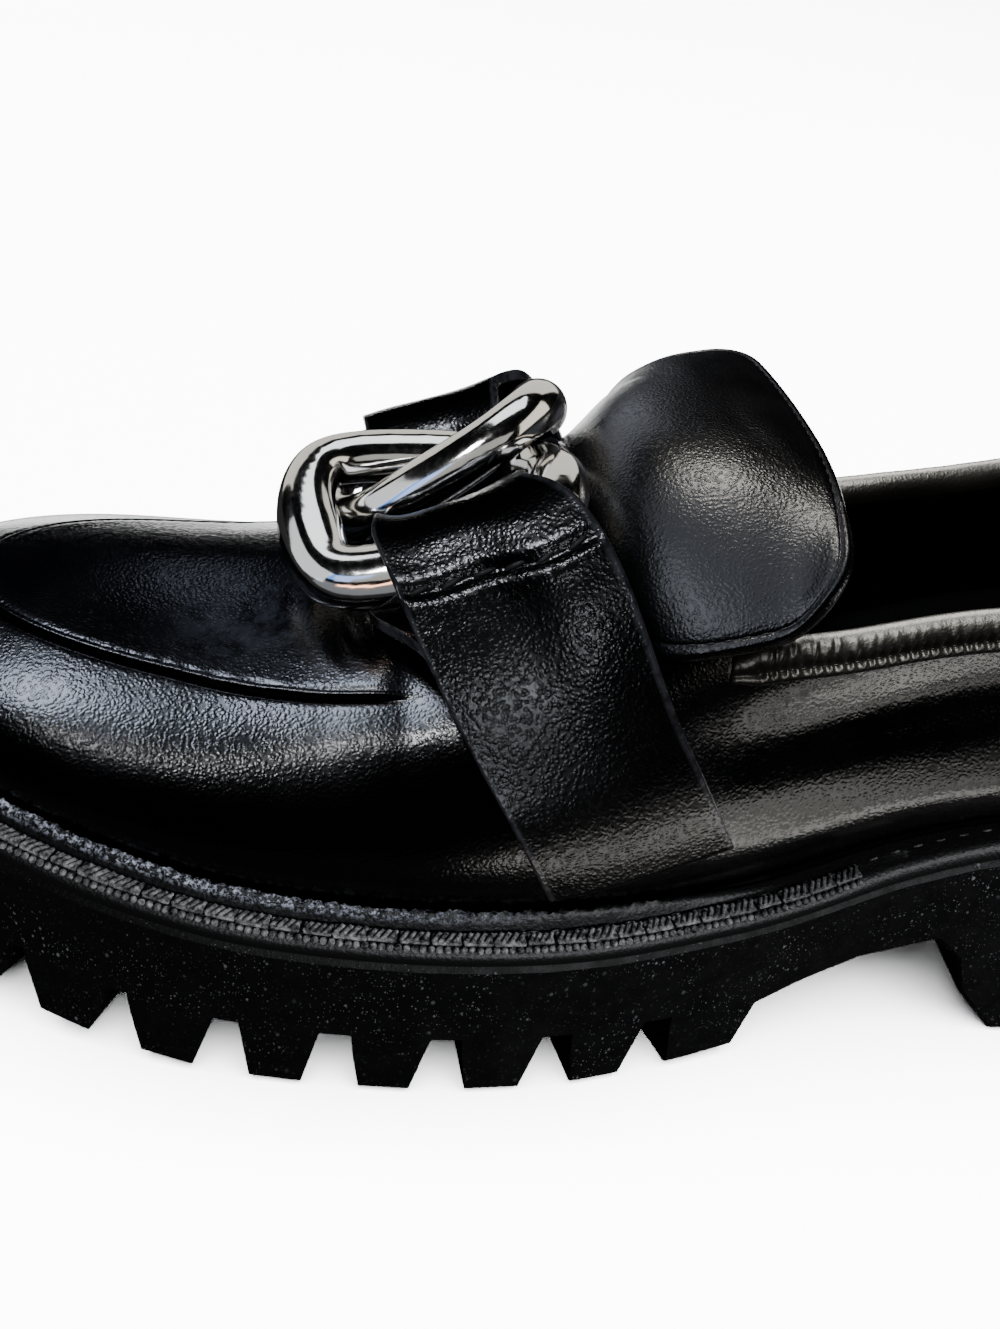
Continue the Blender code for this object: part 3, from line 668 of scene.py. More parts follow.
def skin_normals(half, xs, side):
    """Outward directions over one half of the upper, eased to upright where its grid runs to a point."""
    along, up = np.gradient(half, axis=0), np.gradient(half, axis=1)
    crossed = np.cross(along, up) * -side
    spanned = np.linalg.norm(along, axis=-1) * np.linalg.norm(up, axis=-1)
    sure = np.linalg.norm(crossed, axis=-1) / np.maximum(spanned, 1e-12)
    share = bump_up(sure, 0.12, 0.45) * bump_up(spanned, 0.0, 0.01)
    flat_top = (xs[:, None] > 190) & (np.arange(HALF_ROWS) > HALF_ROWS * 0.6)
    share = np.where(flat_top, share, 1.0)[..., None]
    return unit(unit(crossed) * share + unit(np.array([0.08, 0.0, 1.0])) * (1 - share))


def upper_table():
    marks = stations(UPPER_STATIONS)
    xs = np.array(marks)
    halves, offsets, normals = [], [], []
    for side in (1, -1):
        ribs = [rib(x, side) for x in marks]
        spreads = [section_spread(x, points) for x, points in zip(marks, ribs)]
        halves.append(np.array([along_rib(points, s) for points, (s, _) in zip(ribs, spreads)]))
        offsets.append(np.array([from_seam for _, from_seam in spreads]))
        normals.append(skin_normals(halves[-1], xs, side))
    ends = [0, -1]
    whole = np.nonzero(xs >= CLOSED_FROM)[0]
    for place in (ends, (whole, -1)):
        normals[0][place] = normals[1][place] = unit(normals[0][place] + normals[1][place])
    fade = bump_up(xs, SEAM_END - 1, SEAM_END + 6)[:, None]
    for k, side in enumerate((1, -1)):
        raised = np.interp(offsets[k], *zip(*SEAM_RELIEF)) * fade
        waves = np.sin(xs[:, None] * 2 * math.pi / PUCKER_PITCH)
        pucker = 0.08 * bell(offsets[k] - 1.15, 0.45) * fade * waves
        creases = crease_depth(halves[k], [c for c in CREASES if c[0] == side])
        creases[ends] = 0
        halves[k] = halves[k] + normals[k] * (raised + pucker + creases)[..., None]
    for place in (ends, (whole, -1)):
        halves[1][place] = halves[0][place]
    return np.concatenate([halves[0], halves[1][:, ::-1]], axis=1)


def make_upper(leather, lining):
    """The vamp, apron and quarters as one skin with its raised apron seam, a wall of even thickness."""
    obj = lay("upper_leather", upper_table(), weld=0.02, outward=False)
    mesh = obj.data
    open_from = metres((THROAT + 10.0, 0, 0))[0]
    put_down()
    for part in (*mesh.edges, *mesh.vertices):
        part.select = False
    for face in mesh.polygons:
        # the grid's wide faces behind this mark span the foot opening
        corners = [mesh.vertices[v].co for v in face.vertices if face.center.x < open_from]
        face.select = max([(a - b).length for a in corners for b in corners], default=0) > 6 * MM
    take(obj)
    bpy.ops.object.mode_set(mode="EDIT")
    bpy.ops.mesh.select_mode(type="FACE")
    bpy.ops.mesh.delete(type="ONLY_FACE")
    bpy.ops.mesh.select_mode(type="VERT")
    bpy.ops.mesh.select_all(action="SELECT")
    bpy.ops.mesh.delete_loose(use_verts=True, use_edges=True, use_faces=False)
    bpy.ops.mesh.select_all(action="SELECT")
    bpy.ops.mesh.normals_make_consistent(inside=False)
    bpy.ops.object.mode_set(mode="OBJECT")
    ready(obj, [leather, lining], "black_leather", "upper")
    finish_with(obj, "SOLIDIFY", thickness=WALL * MM, offset=-1.0, use_even_offset=False, material_offset=1,
                material_offset_rim=0)  # fmt: skip
    soften(obj, 50)


# ---------------------------------------------------------------- collar

# outward from the upper's surface, and down from the opening's edge, round the padded roll
COLLAR_ROLL = [
    (-2.9, 3.5), (-3, 2.4), (-2.95, 1.3), (-2.6, 0.2), (-1.9, -0.6), (-1, -1), (0, -0.95), (0.9, -0.4),
    (1.45, 0.4), (1.65, 1.4), (1.5, 2.3), (1.05, 3), (0.6, 3.5), (0.62, 3.8), (0.9, 4.15), (0.95, 4.6),
    (0.7, 5), (0.3, 5.2), (0.08, 5), (0.05, 4.3), (0, 3.75), (-1, 3.7), (-2, 3.7),
]  # fmt: skip
COLLAR_STITCH_PITCH = 1.6
COLLAR_PITCH = 0.26  # of the roll's own sections
COLLAR_AHEAD = np.array([3.6, 2.7, 1.8, 0.9])[:, None]  # its ends run on past the throat, to these marks
COLLAR_END = 4.5  # and thin out over this length
GATHERED = 26.0  # the roll is gathered over this length from each end
COLLAR_SEWN = 7.0  # and its stitches begin this far from them


def collar_path():
    """The opening's edge from the outer throat round the heel to the inner throat: lengths along it, its
    points, and the directions down the leather and outward from it."""
    marks = [x for x in stations(420) if x <= THROAT - 1.0]
    spots, downs = [], []
    for side, order in ((1, reversed(marks)), (-1, marks)):
        for x in order:
            line = along_rib(rib(x, side), FINE)
            run = lengths_along(line)
            top = opening_length(x, line, run, 0.0)
            here, under = read_line(np.array([top, top - 2.0]), run, line)
            spots.append(here)
            downs.append(unit(under - here))
    spots, downs = np.array(spots), np.array(downs)
    keep = np.concatenate([[True], np.linalg.norm(np.diff(spots, axis=0), axis=1) > 0.05])
    spots, downs = spots[keep], downs[keep]
    run = lengths_along(spots)
    at = np.linspace(0, run[-1], int(run[-1] / COLLAR_PITCH))
    spots, downs = read_line(at, run, spots), unit(read_line(at, run, downs))
    first, last = unit(spots[0] - spots[3]), unit(spots[-1] - spots[-4])
    spots = np.concatenate([spots[0] + first * COLLAR_AHEAD, spots, spots[-1] + last * COLLAR_AHEAD[::-1]])
    downs = np.concatenate([np.repeat(downs[:1], 4, axis=0), downs, np.repeat(downs[-1:], 4, axis=0)])
    outward = unit(np.cross(unit(np.gradient(spots, axis=0)), downs))
    inside = np.array([60.0, 0.0, 0.0])
    outward *= np.sign(((spots - inside) * outward)[:, :2].sum(1))[:, None]
    return lengths_along(spots), spots, downs, outward


def make_collar(leather):
    """The padded roll on the opening's edge, drawn in along its stitch row and gathered at its front ends."""
    at, spots, downs, outward = collar_path()
    from_end = np.minimum(at, at[-1] - at)
    size = (0.62 + 0.38 * bump_up(from_end, 0.0, COLLAR_END))[:, None]
    gather = bump_up(from_end, GATHERED, 4.0)
    away, down = np.array(COLLAR_ROLL + COLLAR_ROLL[:1]).T
    stitched = bell(down - 3.4, 1.0) * (away > 0.3)
    crown = bell(down - 1.4, 1.5) * (away > -1.5)
    wobble = 0.5 * np.sin(at * 0.9) + 0.4 * np.sin(at * 2.13 + 0.7)
    wave = np.cos(2 * math.pi * at / COLLAR_STITCH_PITCH + wobble)[:, None]
    folds = ((0.05 + 0.20 * gather) * np.sin(2 * math.pi * at / 2.1 + 2 * wobble))[:, None]
    soft = (0.10 * np.sin(at * 0.37 + 1.3) + 0.08 * np.sin(at * 0.83))[:, None]
    away = away * size + stitched * (0.34 * wave - 0.16) + crown * folds
    down = down * size + (1 - size) * 2.6 + soft * crown
    table = spots[:, None] + outward[:, None] * away[..., None] + downs[:, None] * down[..., None]
    caps = [np.broadcast_to(table[end].mean(0), table[:1].shape) for end in (0, -1)]
    obj = lay("collar_roll", np.concatenate([caps[0], table, caps[1]]))
    ready(obj, leather, "black_leather", "collar_binding")
    sewn = from_end > COLLAR_SEWN
    line, tangents = even_line((spots + outward * 0.3 + downs * 3.62)[sewn], COLLAR_STITCH_PITCH)
    picks = np.linspace(0, sewn.sum() - 1, len(line)).astype(int)
    stitch = model_stitch(0.95, 0.26, 0.2)
    set_along(stitch, "collar_stitches", leather, "black_leather", line, tangents, outward[sewn][picks])


# ---------------------------------------------------------------- tongue

VAMP_LINES = {}
FLAP_CORNER = 6.5
TONGUE_TUCK = 162.0  # the pared front edge reaches a little further, under the straps and the chain
TONGUE_INSETS = [0, 0.25, 0.5, 0.75, 0.95, 1.15, 1.3, 1.45, 1.6, 1.75, 1.95, 2.2, 2.5]
TONGUE_SHARES = [0.04, 0.08, 0.14, 0.21, 0.3, 0.4, 0.5, 0.6, 0.7, 0.8, 0.9, 1]
# distance in from the flap's edge, height of the face: a puffed fold, the stitch groove, a soft rise
TONGUE_FACE = [
    (0, -0.1), (0.6, 0), (1.15, -0.04), (1.45, -0.26), (1.75, -0.06), (2.5, 0.03), (4.2, 0), (12, 0),
]  # fmt: skip
TONGUE_STITCHED = 1.45
SPINE_PITCH = 0.7
SKIVED = 9.0  # the flap's front edge is pared away over this length, down onto the vamp


def tongue_outline(count):
    """The flap's edge in plan, all the way round: the free end, a side, the front edge, the other side."""

    def across(x, v):
        middle, _, _, _, half = smooth(TONGUE, x)
        return x, middle + v * half

    vs = [-math.cos(math.pi * i / count) for i in range(count + 1)]
    back = []
    for v in vs:
        corner = min(1.0, (1 - abs(v)) * TONGUE[0][-1] / FLAP_CORNER)
        x = TONGUE_BACK + 1.6 * v * v + FLAP_CORNER * (1 - (1 - (1 - corner) ** 2.3) ** (1 / 2.3))
        back.append(across(x, v))
    front = [across(TONGUE_TUCK - TONGUE_SWEEP * v**4, v) for v in reversed(vs)]
    sides = [
        [across(lerp(start[0], end[0], u), v) for u in np.linspace(0, 1, 22)[1:-1]]
        for start, end, v in ((back[-1], front[0], 1), (front[-1], back[0], -1))
    ]
    loop = np.array(back + sides[0] + front + sides[1])
    flat, _ = even_line(np.column_stack([loop, np.zeros(len(loop))]), 0.75, closed=True)
    for _ in range(10):
        flat = (np.roll(flat, 1, 0) + 2 * flat + np.roll(flat, -1, 0)) / 4
    return flat[:, :2]


def tongue_height(flat):
    """Heights of the flap's underside over points in plan."""
    heights = np.empty(len(flat))
    for i, (x, y) in enumerate(flat):
        middle, height, outer_drop, inner_drop, half = smooth(TONGUE, x)
        v = min(1.0, max(-1.0, (y - middle) / half))
        heights[i] = height - (outer_drop if v > 0 else inner_drop) * abs(v) ** 2.2
    ys = np.linspace(-46, 46, 185)
    comes_in = bump_up(flat[:, 0], THROAT - 9, THROAT + 4)
    for i in np.nonzero(comes_in > 0)[0]:
        step, u = divmod(flat[i, 0] * 2, 1.0)
        vamp = 0.0
        for k, share in ((step, 1 - u), (step + 1, u)):
            if k not in VAMP_LINES:
                VAMP_LINES[k] = vamp_height(k / 2, ys)
            vamp += share * float(np.interp(flat[i, 1], ys, VAMP_LINES[k]))
        heights[i] += comes_in[i] * max(0.0, vamp + TONGUE_LIFT - heights[i])
    return heights


def tongue_normals(flat):
    reach = 0.6
    rise = [
        (tongue_height(flat + step) - tongue_height(flat - step)) / (2 * reach)
        for step in (np.array([reach, 0.0]), np.array([0.0, reach]))
    ]
    return unit(np.column_stack([-rise[0], -rise[1], np.ones(len(flat))]))


def make_tongue(leather, thread):
    """A wide flap with a folded, stitched edge, flared flat at its free end."""
    outline = tongue_outline(60)
    ahead = unit(np.roll(outline, -1, 0) - np.roll(outline, 1, 0))
    inward = np.column_stack([-ahead[:, 1], ahead[:, 0]])
    inward *= np.sign(((outline.mean(0) - outline) * inward).sum())
    spine_y = np.round(np.clip(outline[:, 1] * 0.6, -19, 19) / SPINE_PITCH) * SPINE_PITCH
    spine = np.column_stack([np.full(len(outline), 142.0), spine_y])
    rings = [outline + inward * inset for inset in TONGUE_INSETS]
    rings += [rings[-1] + (spine - rings[-1]) * u for u in TONGUE_SHARES]
    insets = np.array(TONGUE_INSETS + [12.0] * len(TONGUE_SHARES))
    face = np.interp(insets, *zip(*TONGUE_FACE))
    front_x = TONGUE_TUCK - TONGUE_SWEEP * np.clip(np.abs(outline[:, 1]) / 34.0, 0, 1) ** 4
    under, over = [], []
    for k, ring in enumerate(rings):
        normals = tongue_normals(ring)
        from_front = front_x - ring[:, 0]
        full = (0.12 + 0.88 * bump_up(from_front, 0.0, SKIVED))[:, None]
        seated = ((1 - bump_up(from_front, 1.0, SKIVED + 3)) * (TONGUE_LIFT - 0.25))[:, None]
        rounded = math.sqrt(max(0.0, 1 - max(0.0, 1 - insets[k] / 0.7) ** 2))
        half = TONGUE_THICK / 2 * full
        low = np.column_stack([ring, tongue_height(ring)]) - normals * seated
        over.append(low + normals * (half + half * rounded + face[k] * rounded * full))
        under.append(low + normals * (half - half * rounded))
        if insets[k] == TONGUE_STITCHED:
            groove, up = over[k], normals
    table = np.concatenate([np.array(over)[::-1], np.array(under)[1:]])
    obj = lay("tongue_flap", np.concatenate([table, table[:, :1]], axis=1), weld=0.04)
    ready(obj, leather, "black_leather", "tongue")
    sewn = (groove[:, 0] < 149) & ~((groove[:, 0] > 145) & (np.abs(groove[:, 1]) < 20))
    order = np.roll(np.arange(len(groove)), -int(np.argmax(sewn & ~np.roll(sewn, 1))))
    order = order[sewn[order]]
    line, tangents = even_line(groove[order], 2.4)
    ups = up[order][np.linspace(0, len(order) - 1, len(line)).astype(int)]
    set_along(model_stitch(1.7, 0.42, 0.3), "tongue_stitches", thread, "black_leather", line, tangents, ups)


# ---------------------------------------------------------------- straps

STRAP_FINE = 8  # fine rows to each row of the strap's path
STRAP_STITCH_ROW = 80  # the fine row of the cross stitching, counted from the strap's foot
STRAP_COLUMNS = 47
STRAP_FREE = (4 * STRAP_FINE, 11 * STRAP_FINE)  # between these the strap hangs straight from the fold
TUCK_FROM = 19 * STRAP_FINE  # the tucked end leaves the bar here
# distance in from the strap's side, height over the leather's middle, down its cut edge
STRAP_EDGE = [
    (0.34, 0.9), (0.16, 0.85), (0.05, 0.68), (0, 0.35), (0.1, 0), (0, -0.35), (0.05, -0.68), (0.16, -0.85),
    (0.34, -0.9),
]  # fmt: skip


def finer(table, rows, columns):
    """The table on smooth curves through its points, in both directions."""

    def stretch(values, count, axis):
        values = np.moveaxis(values, axis, 0)
        padded = np.concatenate([2 * values[:1] - values[1:2], values, 2 * values[-1:] - values[-2:-1]])
        at = np.linspace(0, len(values) - 1, count)
        i = np.minimum(at.astype(int), len(values) - 2)
        u = (at - i).reshape((-1,) + (1,) * (values.ndim - 1))
        p0, p1, p2, p3 = (padded[i + k] for k in range(4))
        made = 0.5 * (2 * p1 + (p2 - p0) * u + (2 * p0 - 5 * p1 + 4 * p2 - p3) * u**2
                      + (3 * p1 - p0 - 3 * p2 + p3) * u**3)  # fmt: skip
        return np.moveaxis(made, 0, axis)

    return stretch(stretch(table, rows, 0), columns, 1)


def rest_on(points, name, clear):
    """The points, lifted off the piece under them to at least the given clearance."""
    mesh = bpy.data.objects[name].data
    tree = BVHTree.FromPolygons([v.co for v in mesh.vertices], [tuple(f.vertices) for f in mesh.polygons])
    flat = points.reshape(-1, 3).copy()
    for i, spot in enumerate(metres(flat)):
        near, normal, _, _ = tree.find_nearest(Vector(spot), 12 * MM)
        if near is not None:
            short = clear - (Vector(spot) - near).dot(normal) / MM
            flat[i] += np.array(normal) * max(short, 0.0)
    return flat.reshape(points.shape)


def hermite(start, start_way, end, end_way, count):
    """Rows on a soft path that leaves the start and comes into the end in the two given ways."""
    u = np.linspace(0, 1, count)[:, None, None]
    reach = np.linalg.norm(end - start, axis=-1, keepdims=True) * 0.34
    a, b = start + start_way * reach, end - end_way * reach
    return start * (1 - u) ** 3 + a * 3 * u * (1 - u) ** 2 + b * 3 * u * u * (1 - u) + end * u**3


def strap_axes(middle):
    """Directions along and across the strap, and square to both."""
    along, across = unit(np.gradient(middle, axis=0)), unit(np.gradient(middle, axis=1))
    return along, across, unit(np.cross(along, across))


def draw_tight(middle):
    """The strap pulled straight from its fold down to where it lies on the vamp, its tucked end behind it."""
    low, high = STRAP_FREE
    along, _, _ = strap_axes(middle)
    middle = middle.copy()
    middle[low:high + 1] = hermite(middle[low], along[low], middle[high], along[high], high - low + 1)
    middle[:high] = rest_on(middle[:high], "upper_leather", STRAP_THICK / 2 + 0.35)
    for _ in range(6):
        middle[1:high + 2] = (middle[:high + 1] + 2 * middle[1:high + 2] + middle[2:high + 3]) / 4
    along, _, normal = strap_axes(middle)
    if normal[:high].mean((0, 1))[2] < 0:
        normal = -normal
    meet = int(lerp(low, high, 0.55))
    end = middle[meet] - normal[meet] * (STRAP_THICK + 0.1)
    tucked = len(middle) - TUCK_FROM
    middle[TUCK_FROM:] = hermite(middle[TUCK_FROM], along[TUCK_FROM], end, -along[meet], tucked)
    return middle


def make_strap(name, side, leather, thread, node_name):
    """A strap of two leathers with cut edges, folded round the link's bar and stitched across below it."""
    coarse = np.array(strap_sections(side)).transpose(1, 0, 2)
    middle = draw_tight(finer(coarse, (len(coarse) - 1) * STRAP_FINE + 1, STRAP_COLUMNS))
    rows, columns = middle.shape[:2]
    _, across, normal = strap_axes(middle)
    # the face away from the shoe at the strap's foot
    if (normal[: rows // 3].mean((0, 1)) * (0, side, 1)).sum() < 0:
        normal = -normal
    half = STRAP_THICK / 2
    run = lengths_along(middle[:, columns // 2])
    w = np.linspace(-1, 1, columns)
    sewn = run - run[STRAP_STITCH_ROW] + 0.2
    groove = -0.5 * bell(sewn, 0.7) + 0.28 * bell(sewn + 2.1, 1.4) + 0.2 * bell(sewn - 2.2, 1.4)
    groove = groove[:, None] * np.clip(1.35 - np.abs(w) ** 8, 0, 1)
    thick = half * (0.55 + 0.45 * bump_up(run, 0.0, 0.5) * bump_up(run, run[-1], run[-1] - 0.5))[:, None]
    # edge_and_highlight marks where the strap is painted pale grey: the cut edges and ends, partly their own
    # paler colour and partly a painted highlight, and the outer face's edges, a painted highlight
    loop, edge_and_highlight = [], []
    for face, column in ((1, -1), (-1, 0)):
        for j in range(1, columns - 1)[::face]:
            lift = thick[:, 0] + (groove[:, j] if face > 0 else 0)
            loop.append(middle[:, j] + normal[:, j] * (lift * face)[:, None])
            edge_and_highlight.append(np.full(rows, 0.85 if face > 0 and abs(w[j]) > 0.95 else 0.0))
        for inset, height in STRAP_EDGE:
            point = middle[:, column] - across[:, column] * inset * face
            loop.append(point + normal[:, column] * height / half * thick * face)
            edge_and_highlight.append(np.full(rows, 1.0 if abs(height) < half - 0.1 else 0.6))
    table = np.array(loop + loop[:1]).transpose(1, 0, 2)
    edge_and_highlight = np.array(edge_and_highlight + edge_and_highlight[:1]).T
    caps = []
    for end in (0, -1):
        gaps = np.linalg.norm(table[end][:, None] - middle[end][None], axis=2)
        caps.append(middle[end][gaps.argmin(1)][None])
    edge_and_highlight[0] = edge_and_highlight[-1] = 1.0
    obj = lay(name, np.concatenate([caps[0], table, caps[1]]), {"edge_and_highlight": edge_and_highlight[[0, *range(rows), -1]]})
    ready(obj, leather, "strap_leather", node_name)
    # the cross stitches: long, slightly slanted, sunk in their groove
    row = int(np.argmin(np.abs(sewn)))
    line = middle[row] + normal[row] * (half - 0.34)
    spots, tangents = even_line(line[2:-2], 4.2)
    spots = (spots[1:] + spots[:-1]) / 2
    ups = normal[row][np.linspace(2, columns - 3, len(spots)).astype(int)]
    slanted = unit(tangents[:-1] + np.cross(ups, tangents[:-1]) * 0.22)
    set_along(model_stitch(4.2, 0.95, 0.8), name + "_stitches", thread, "strap_leather", spots, slanted, ups)


# ---------------------------------------------------------------- chain


def make_link(name, side, steel, node_name):
    """A heavy cast link: a ring drawn along the link's own path, with a smooth skin."""
    count = 128
    looped = [(i, *LINK[i % len(LINK)]) for i in range(-2, len(LINK) + 3)]
    rows = np.array([smooth(looped, len(LINK) * i / count) for i in range(count)])
    centres = np.array([link_point(x, y, z, side) for x, y, z, _ in rows])
    along = unit(np.roll(centres, -1, 0) - np.roll(centres, 1, 0))
    across = unit(np.cross(along, np.array(chain_frame()[1] @ Vector((0, 0, 1)))))
    second = np.cross(across, along)
    angles = np.linspace(0, 2 * math.pi, 33)[None, :, None]
    ring = across[:, None] * np.cos(angles) + second[:, None] * np.sin(angles)
    table = centres[:, None] + ring * rows[:, 3, None, None]
    obj = lay(name, np.concatenate([table, table[:1]]), weld=0.02)
    finish_with(obj, "REMESH", mode="VOXEL", voxel_size=0.42 * MM, use_smooth_shade=True)
    finish_with(obj, "SMOOTH", factor=0.6, iterations=14)
    ready(obj, steel, "polished_steel", node_name)


# ---------------------------------------------------------------- welt, insole and sole

WELT_BACK = 117.0  # behind this the welt's edge is plain
KNURL_PITCH = 4.35
BEAD_PITCH = 1.12
WELT_STITCH_PITCH = 3.6
WELT_SEWN = (96, 166)  # the welt's stitches show between these places
RIDGE_RISE = 1.95


def ring_table(profile, xs):
    """Sections of a flat piece, each a closed loop across the shoe."""
    table = []
    for x in xs:
        rows = profile(x)
        outer = [(*inset_edge(x, 1, inset), z) for inset, z in rows]
        inner = [(*inset_edge(x, -1, inset), z) for inset, z in reversed(rows)]
        table.append(outer + inner + outer[:1])
    return np.array(table)


def welt_profile(x):
    """From the upper's foot over the storm ridge to the edge and under: inset from the edge, and height."""
    base, top, foot = welt_base(x) + GAP, welt_top(x), feather_inset(x)
    fade = float(bump_up(x, 122, 158))
    rise = RIDGE_RISE * fade
    wheeled = float(bump_up(x, WELT_BACK - 3, WELT_BACK + 1))
    return [
        (foot + 2.0, top - 0.1),
        (foot - 0.75, top - 0.1),
        (foot - 0.85, top + rise * 0.7),
        (foot - 1.1, top + rise * 0.96),
        (foot - 1.45, top + rise),
        (foot - 1.85, top + rise * 0.9),
        (foot - 2.15, top + rise * 0.6),
        (foot - 2.35, top + rise * 0.15),
        (foot - 2.55, top - 0.5 * fade),
        (foot - 3.3, top - 0.5 * fade),
        (3.0, top - 0.05),
        (1.6, top - 0.1 - 0.1 * wheeled),
        (1.2, top - 0.15 - 0.15 * wheeled),
        (0.7, top - 0.35 - 0.3 * wheeled),
        (0.3, top - 0.75 - 0.25 * wheeled),
        (0.08, top - 1.25),
        (0.0, (base + top) / 2),
        (0.12, base + 0.75),
        (0.4, base + 0.3),
        (1.0, base),
        (4.0, base),
    ]


def edge_run(back, inset, height_over):
    """A line round the front of the shoe at an inset from the welt's edge, from the back mark on the outer
    side to the back mark on the inner side."""
    xs = [x for x in stations(700) if x >= back]
    runs = ((1, xs), (-1, reversed(xs)))
    return [(*inset_edge(x, side, inset), welt_top(x) + height_over) for side, marks in runs for x in marks]


def set_round(model, name, finish, line, pitch, front=LENGTH, swing=0.0):
    """Upright copies of a small model along a line on the welt, as far as the front mark."""
    spots, tangents = even_line(line, pitch)
    behind = spots[:, 0] < front
    spots, tangents = spots[behind], tangents[behind]
    ups = unit(np.cross(tangents, np.cross((0, 0, 1.0), tangents)))
    order = np.arange(len(spots))
    sizes = 1.0 + swing * np.sin(order * 2.7) * np.cos(order * 1.1)
    set_along(model, name, finish, "welt_rubber", spots, tangents, ups, sizes)


def make_welt(rubber, dusty):
    """The welt with its frayed storm ridge, its wheeled edge, the beads under that and the stitches."""
    xs = stations(900)
    table = ring_table(welt_profile, xs)
    over = table[..., 2] - np.array([welt_top(x) for x in xs])[:, None]
    flat = table.reshape(-1, 3)
    fuzz = np.array([noise_at(Vector(p) * 0.9) * 0.45 + noise_at(Vector(p) * 2.3) * 0.4 for p in flat])
    frayed = bump_up(over, 0.7, 1.6)
    table[..., 2] += fuzz.reshape(over.shape) * frayed
    table[..., 1] += np.roll(fuzz, 7).reshape(over.shape) * frayed * 0.6
    obj = lay("welt_strip", table, masks={"ridge": bump_up(over, 0.2, 0.9)}, weld=0.02)
    ready(obj, rubber, "welt_rubber", "welt")
    soften(obj, 60)
    knurl, bead, stitch = model_knurl(KNURL_PITCH - 0.25, 2.2), model_bead(0.56), model_stitch(2.4, 0.6, 0.45)
    back, front = WELT_SEWN
    set_round(knurl, "welt_wheeling", dusty, edge_run(WELT_BACK, 2.25, 0.02), KNURL_PITCH, swing=0.13)
    set_round(bead, "welt_beads", dusty, edge_run(WELT_BACK - 1, 0.62, -0.42), BEAD_PITCH)
    set_round(stitch, "welt_stitches", dusty, edge_run(back, 3.62, -0.12), WELT_STITCH_PITCH, front)


def insole_profile(x):
    inset = feather_inset(x) + WALL + INSOLE_ROOM
    base = welt_top(x) + 0.5
    top = base + INSOLE_THICK
    return [
        (inset + 9, top - 0.9), (inset + 4, top - 0.5), (inset + 1.2, top - 0.1), (inset - 0.2, top),
        (inset - 0.9, top - 0.35), (inset - 1.0, top - 0.9), (inset, base), (inset + 4, base),
    ]  # fmt: skip


def make_insole(finish):
    obj = lay("footbed", ring_table(insole_profile, stations(160)), weld=0.02)
    ready(obj, finish, "footbed_lining", "insole")
    soften(obj, 50)


def make_sole(rubber):
    """The moulded sole, its lugs' edges eased as they leave the mould."""
    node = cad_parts["outsole"]
    obj = node.copy()
    obj.data = node.data.copy()
    bpy.context.scene.collection.objects.link(obj)
    obj.parent = None
    for key in list(obj.keys()):
        del obj[key]
    obj.name = obj.data.name = "lug_sole"
    in_edit(
        obj,
        lambda: bpy.ops.mesh.remove_doubles(threshold=0.01 * MM),
        lambda: bpy.ops.mesh.dissolve_limited(angle_limit=math.radians(1.0)),
    )
    finish_with(obj, "BEVEL", width=0.7 * MM, segments=3, limit_method="ANGLE", angle_limit=math.radians(38),
                use_clamp_overlap=True, harden_normals=False)  # fmt: skip
    soften(obj, 40)
    ready(obj, rubber, "black_rubber", "outsole")


# ---------------------------------------------------------------- finishes


class Nodes:
    """The nodes of a shared effect or a finish, and the place on the shoe that they work from."""

    def __init__(self, tree, place_in=None):
        self.tree, self.place_in = tree, place_in

    def give(self, socket, value):
        if isinstance(value, bpy.types.NodeSocket):
            self.tree.links.new(value, socket)
        else:
            socket.default_value = value

    def add(self, kind, inputs=None, **settings):
        """A new node with these settings and inputs; hands back its outputs."""
        made = self.tree.nodes.new("ShaderNode" + kind)
        for key, value in settings.items():
            setattr(made, key, value)
        for key, value in (inputs or {}).items():
            self.give(made.inputs[key], value)
        return made.outputs

    def noise(self, scale, detail=3.0, roughness=0.55):
        inputs = {"Vector": self.place_in, "Scale": scale, "Detail": detail, "Roughness": roughness}
        return self.add("TexNoise", inputs)["Fac"]

    def move(self, operation, a, b):
        return self.add("VectorMath", {0: a, 1: b}, operation=operation)[0]

    def maths(self, operation, a, b, clamp=False):
        return self.add("Math", {0: a, 1: b}, operation=operation, use_clamp=clamp)[0]

    def times(self, first, *others):
        for other in others:
            first = self.maths("MULTIPLY", first, other)
        return first

    def spread(self, value, low, high, to_low=0.0, to_high=1.0):
        """Low to high, drawn out softly to the other two."""
        inputs = {"Value": value, "From Min": low, "From Max": high, "To Min": to_low, "To Max": to_high}
        return self.add("MapRange", inputs, interpolation_type="SMOOTHSTEP")[0]

    def blend(self, share, a, b):
        """From one colour to the other."""
        return self.add("Mix", {0: share, 6: a, 7: b}, data_type="RGBA")[2]

    def axis(self, place, number):
        return self.add("SeparateXYZ", {0: place})[number]

    def use(self, group, knob, value):
        return self.add("Group", {"Place": self.place_in, knob: value}, node_tree=group)


class Finish(Nodes):
    """A material's nodes, with the sockets of its own shader."""

    def __init__(self, name):
        self.made = bpy.data.materials.new(name)
        self.made.use_nodes = True
        super().__init__(self.made.node_tree)
        self.place_in = self.add("TexCoord")["Object"]
        self.shader = self.tree.nodes["Principled BSDF"].inputs

    def settle(self, colour, roughness, height, depth):
        """The finish with its colour, its roughness and its relief."""
        relief = self.add("Bump", {"Height": height, "Distance": depth, "Strength": 1.0})["Normal"]
        for key, value in (("Base Color", colour), ("Roughness", roughness), ("Normal", relief)):
            self.give(self.shader[key], value)
        return self.made


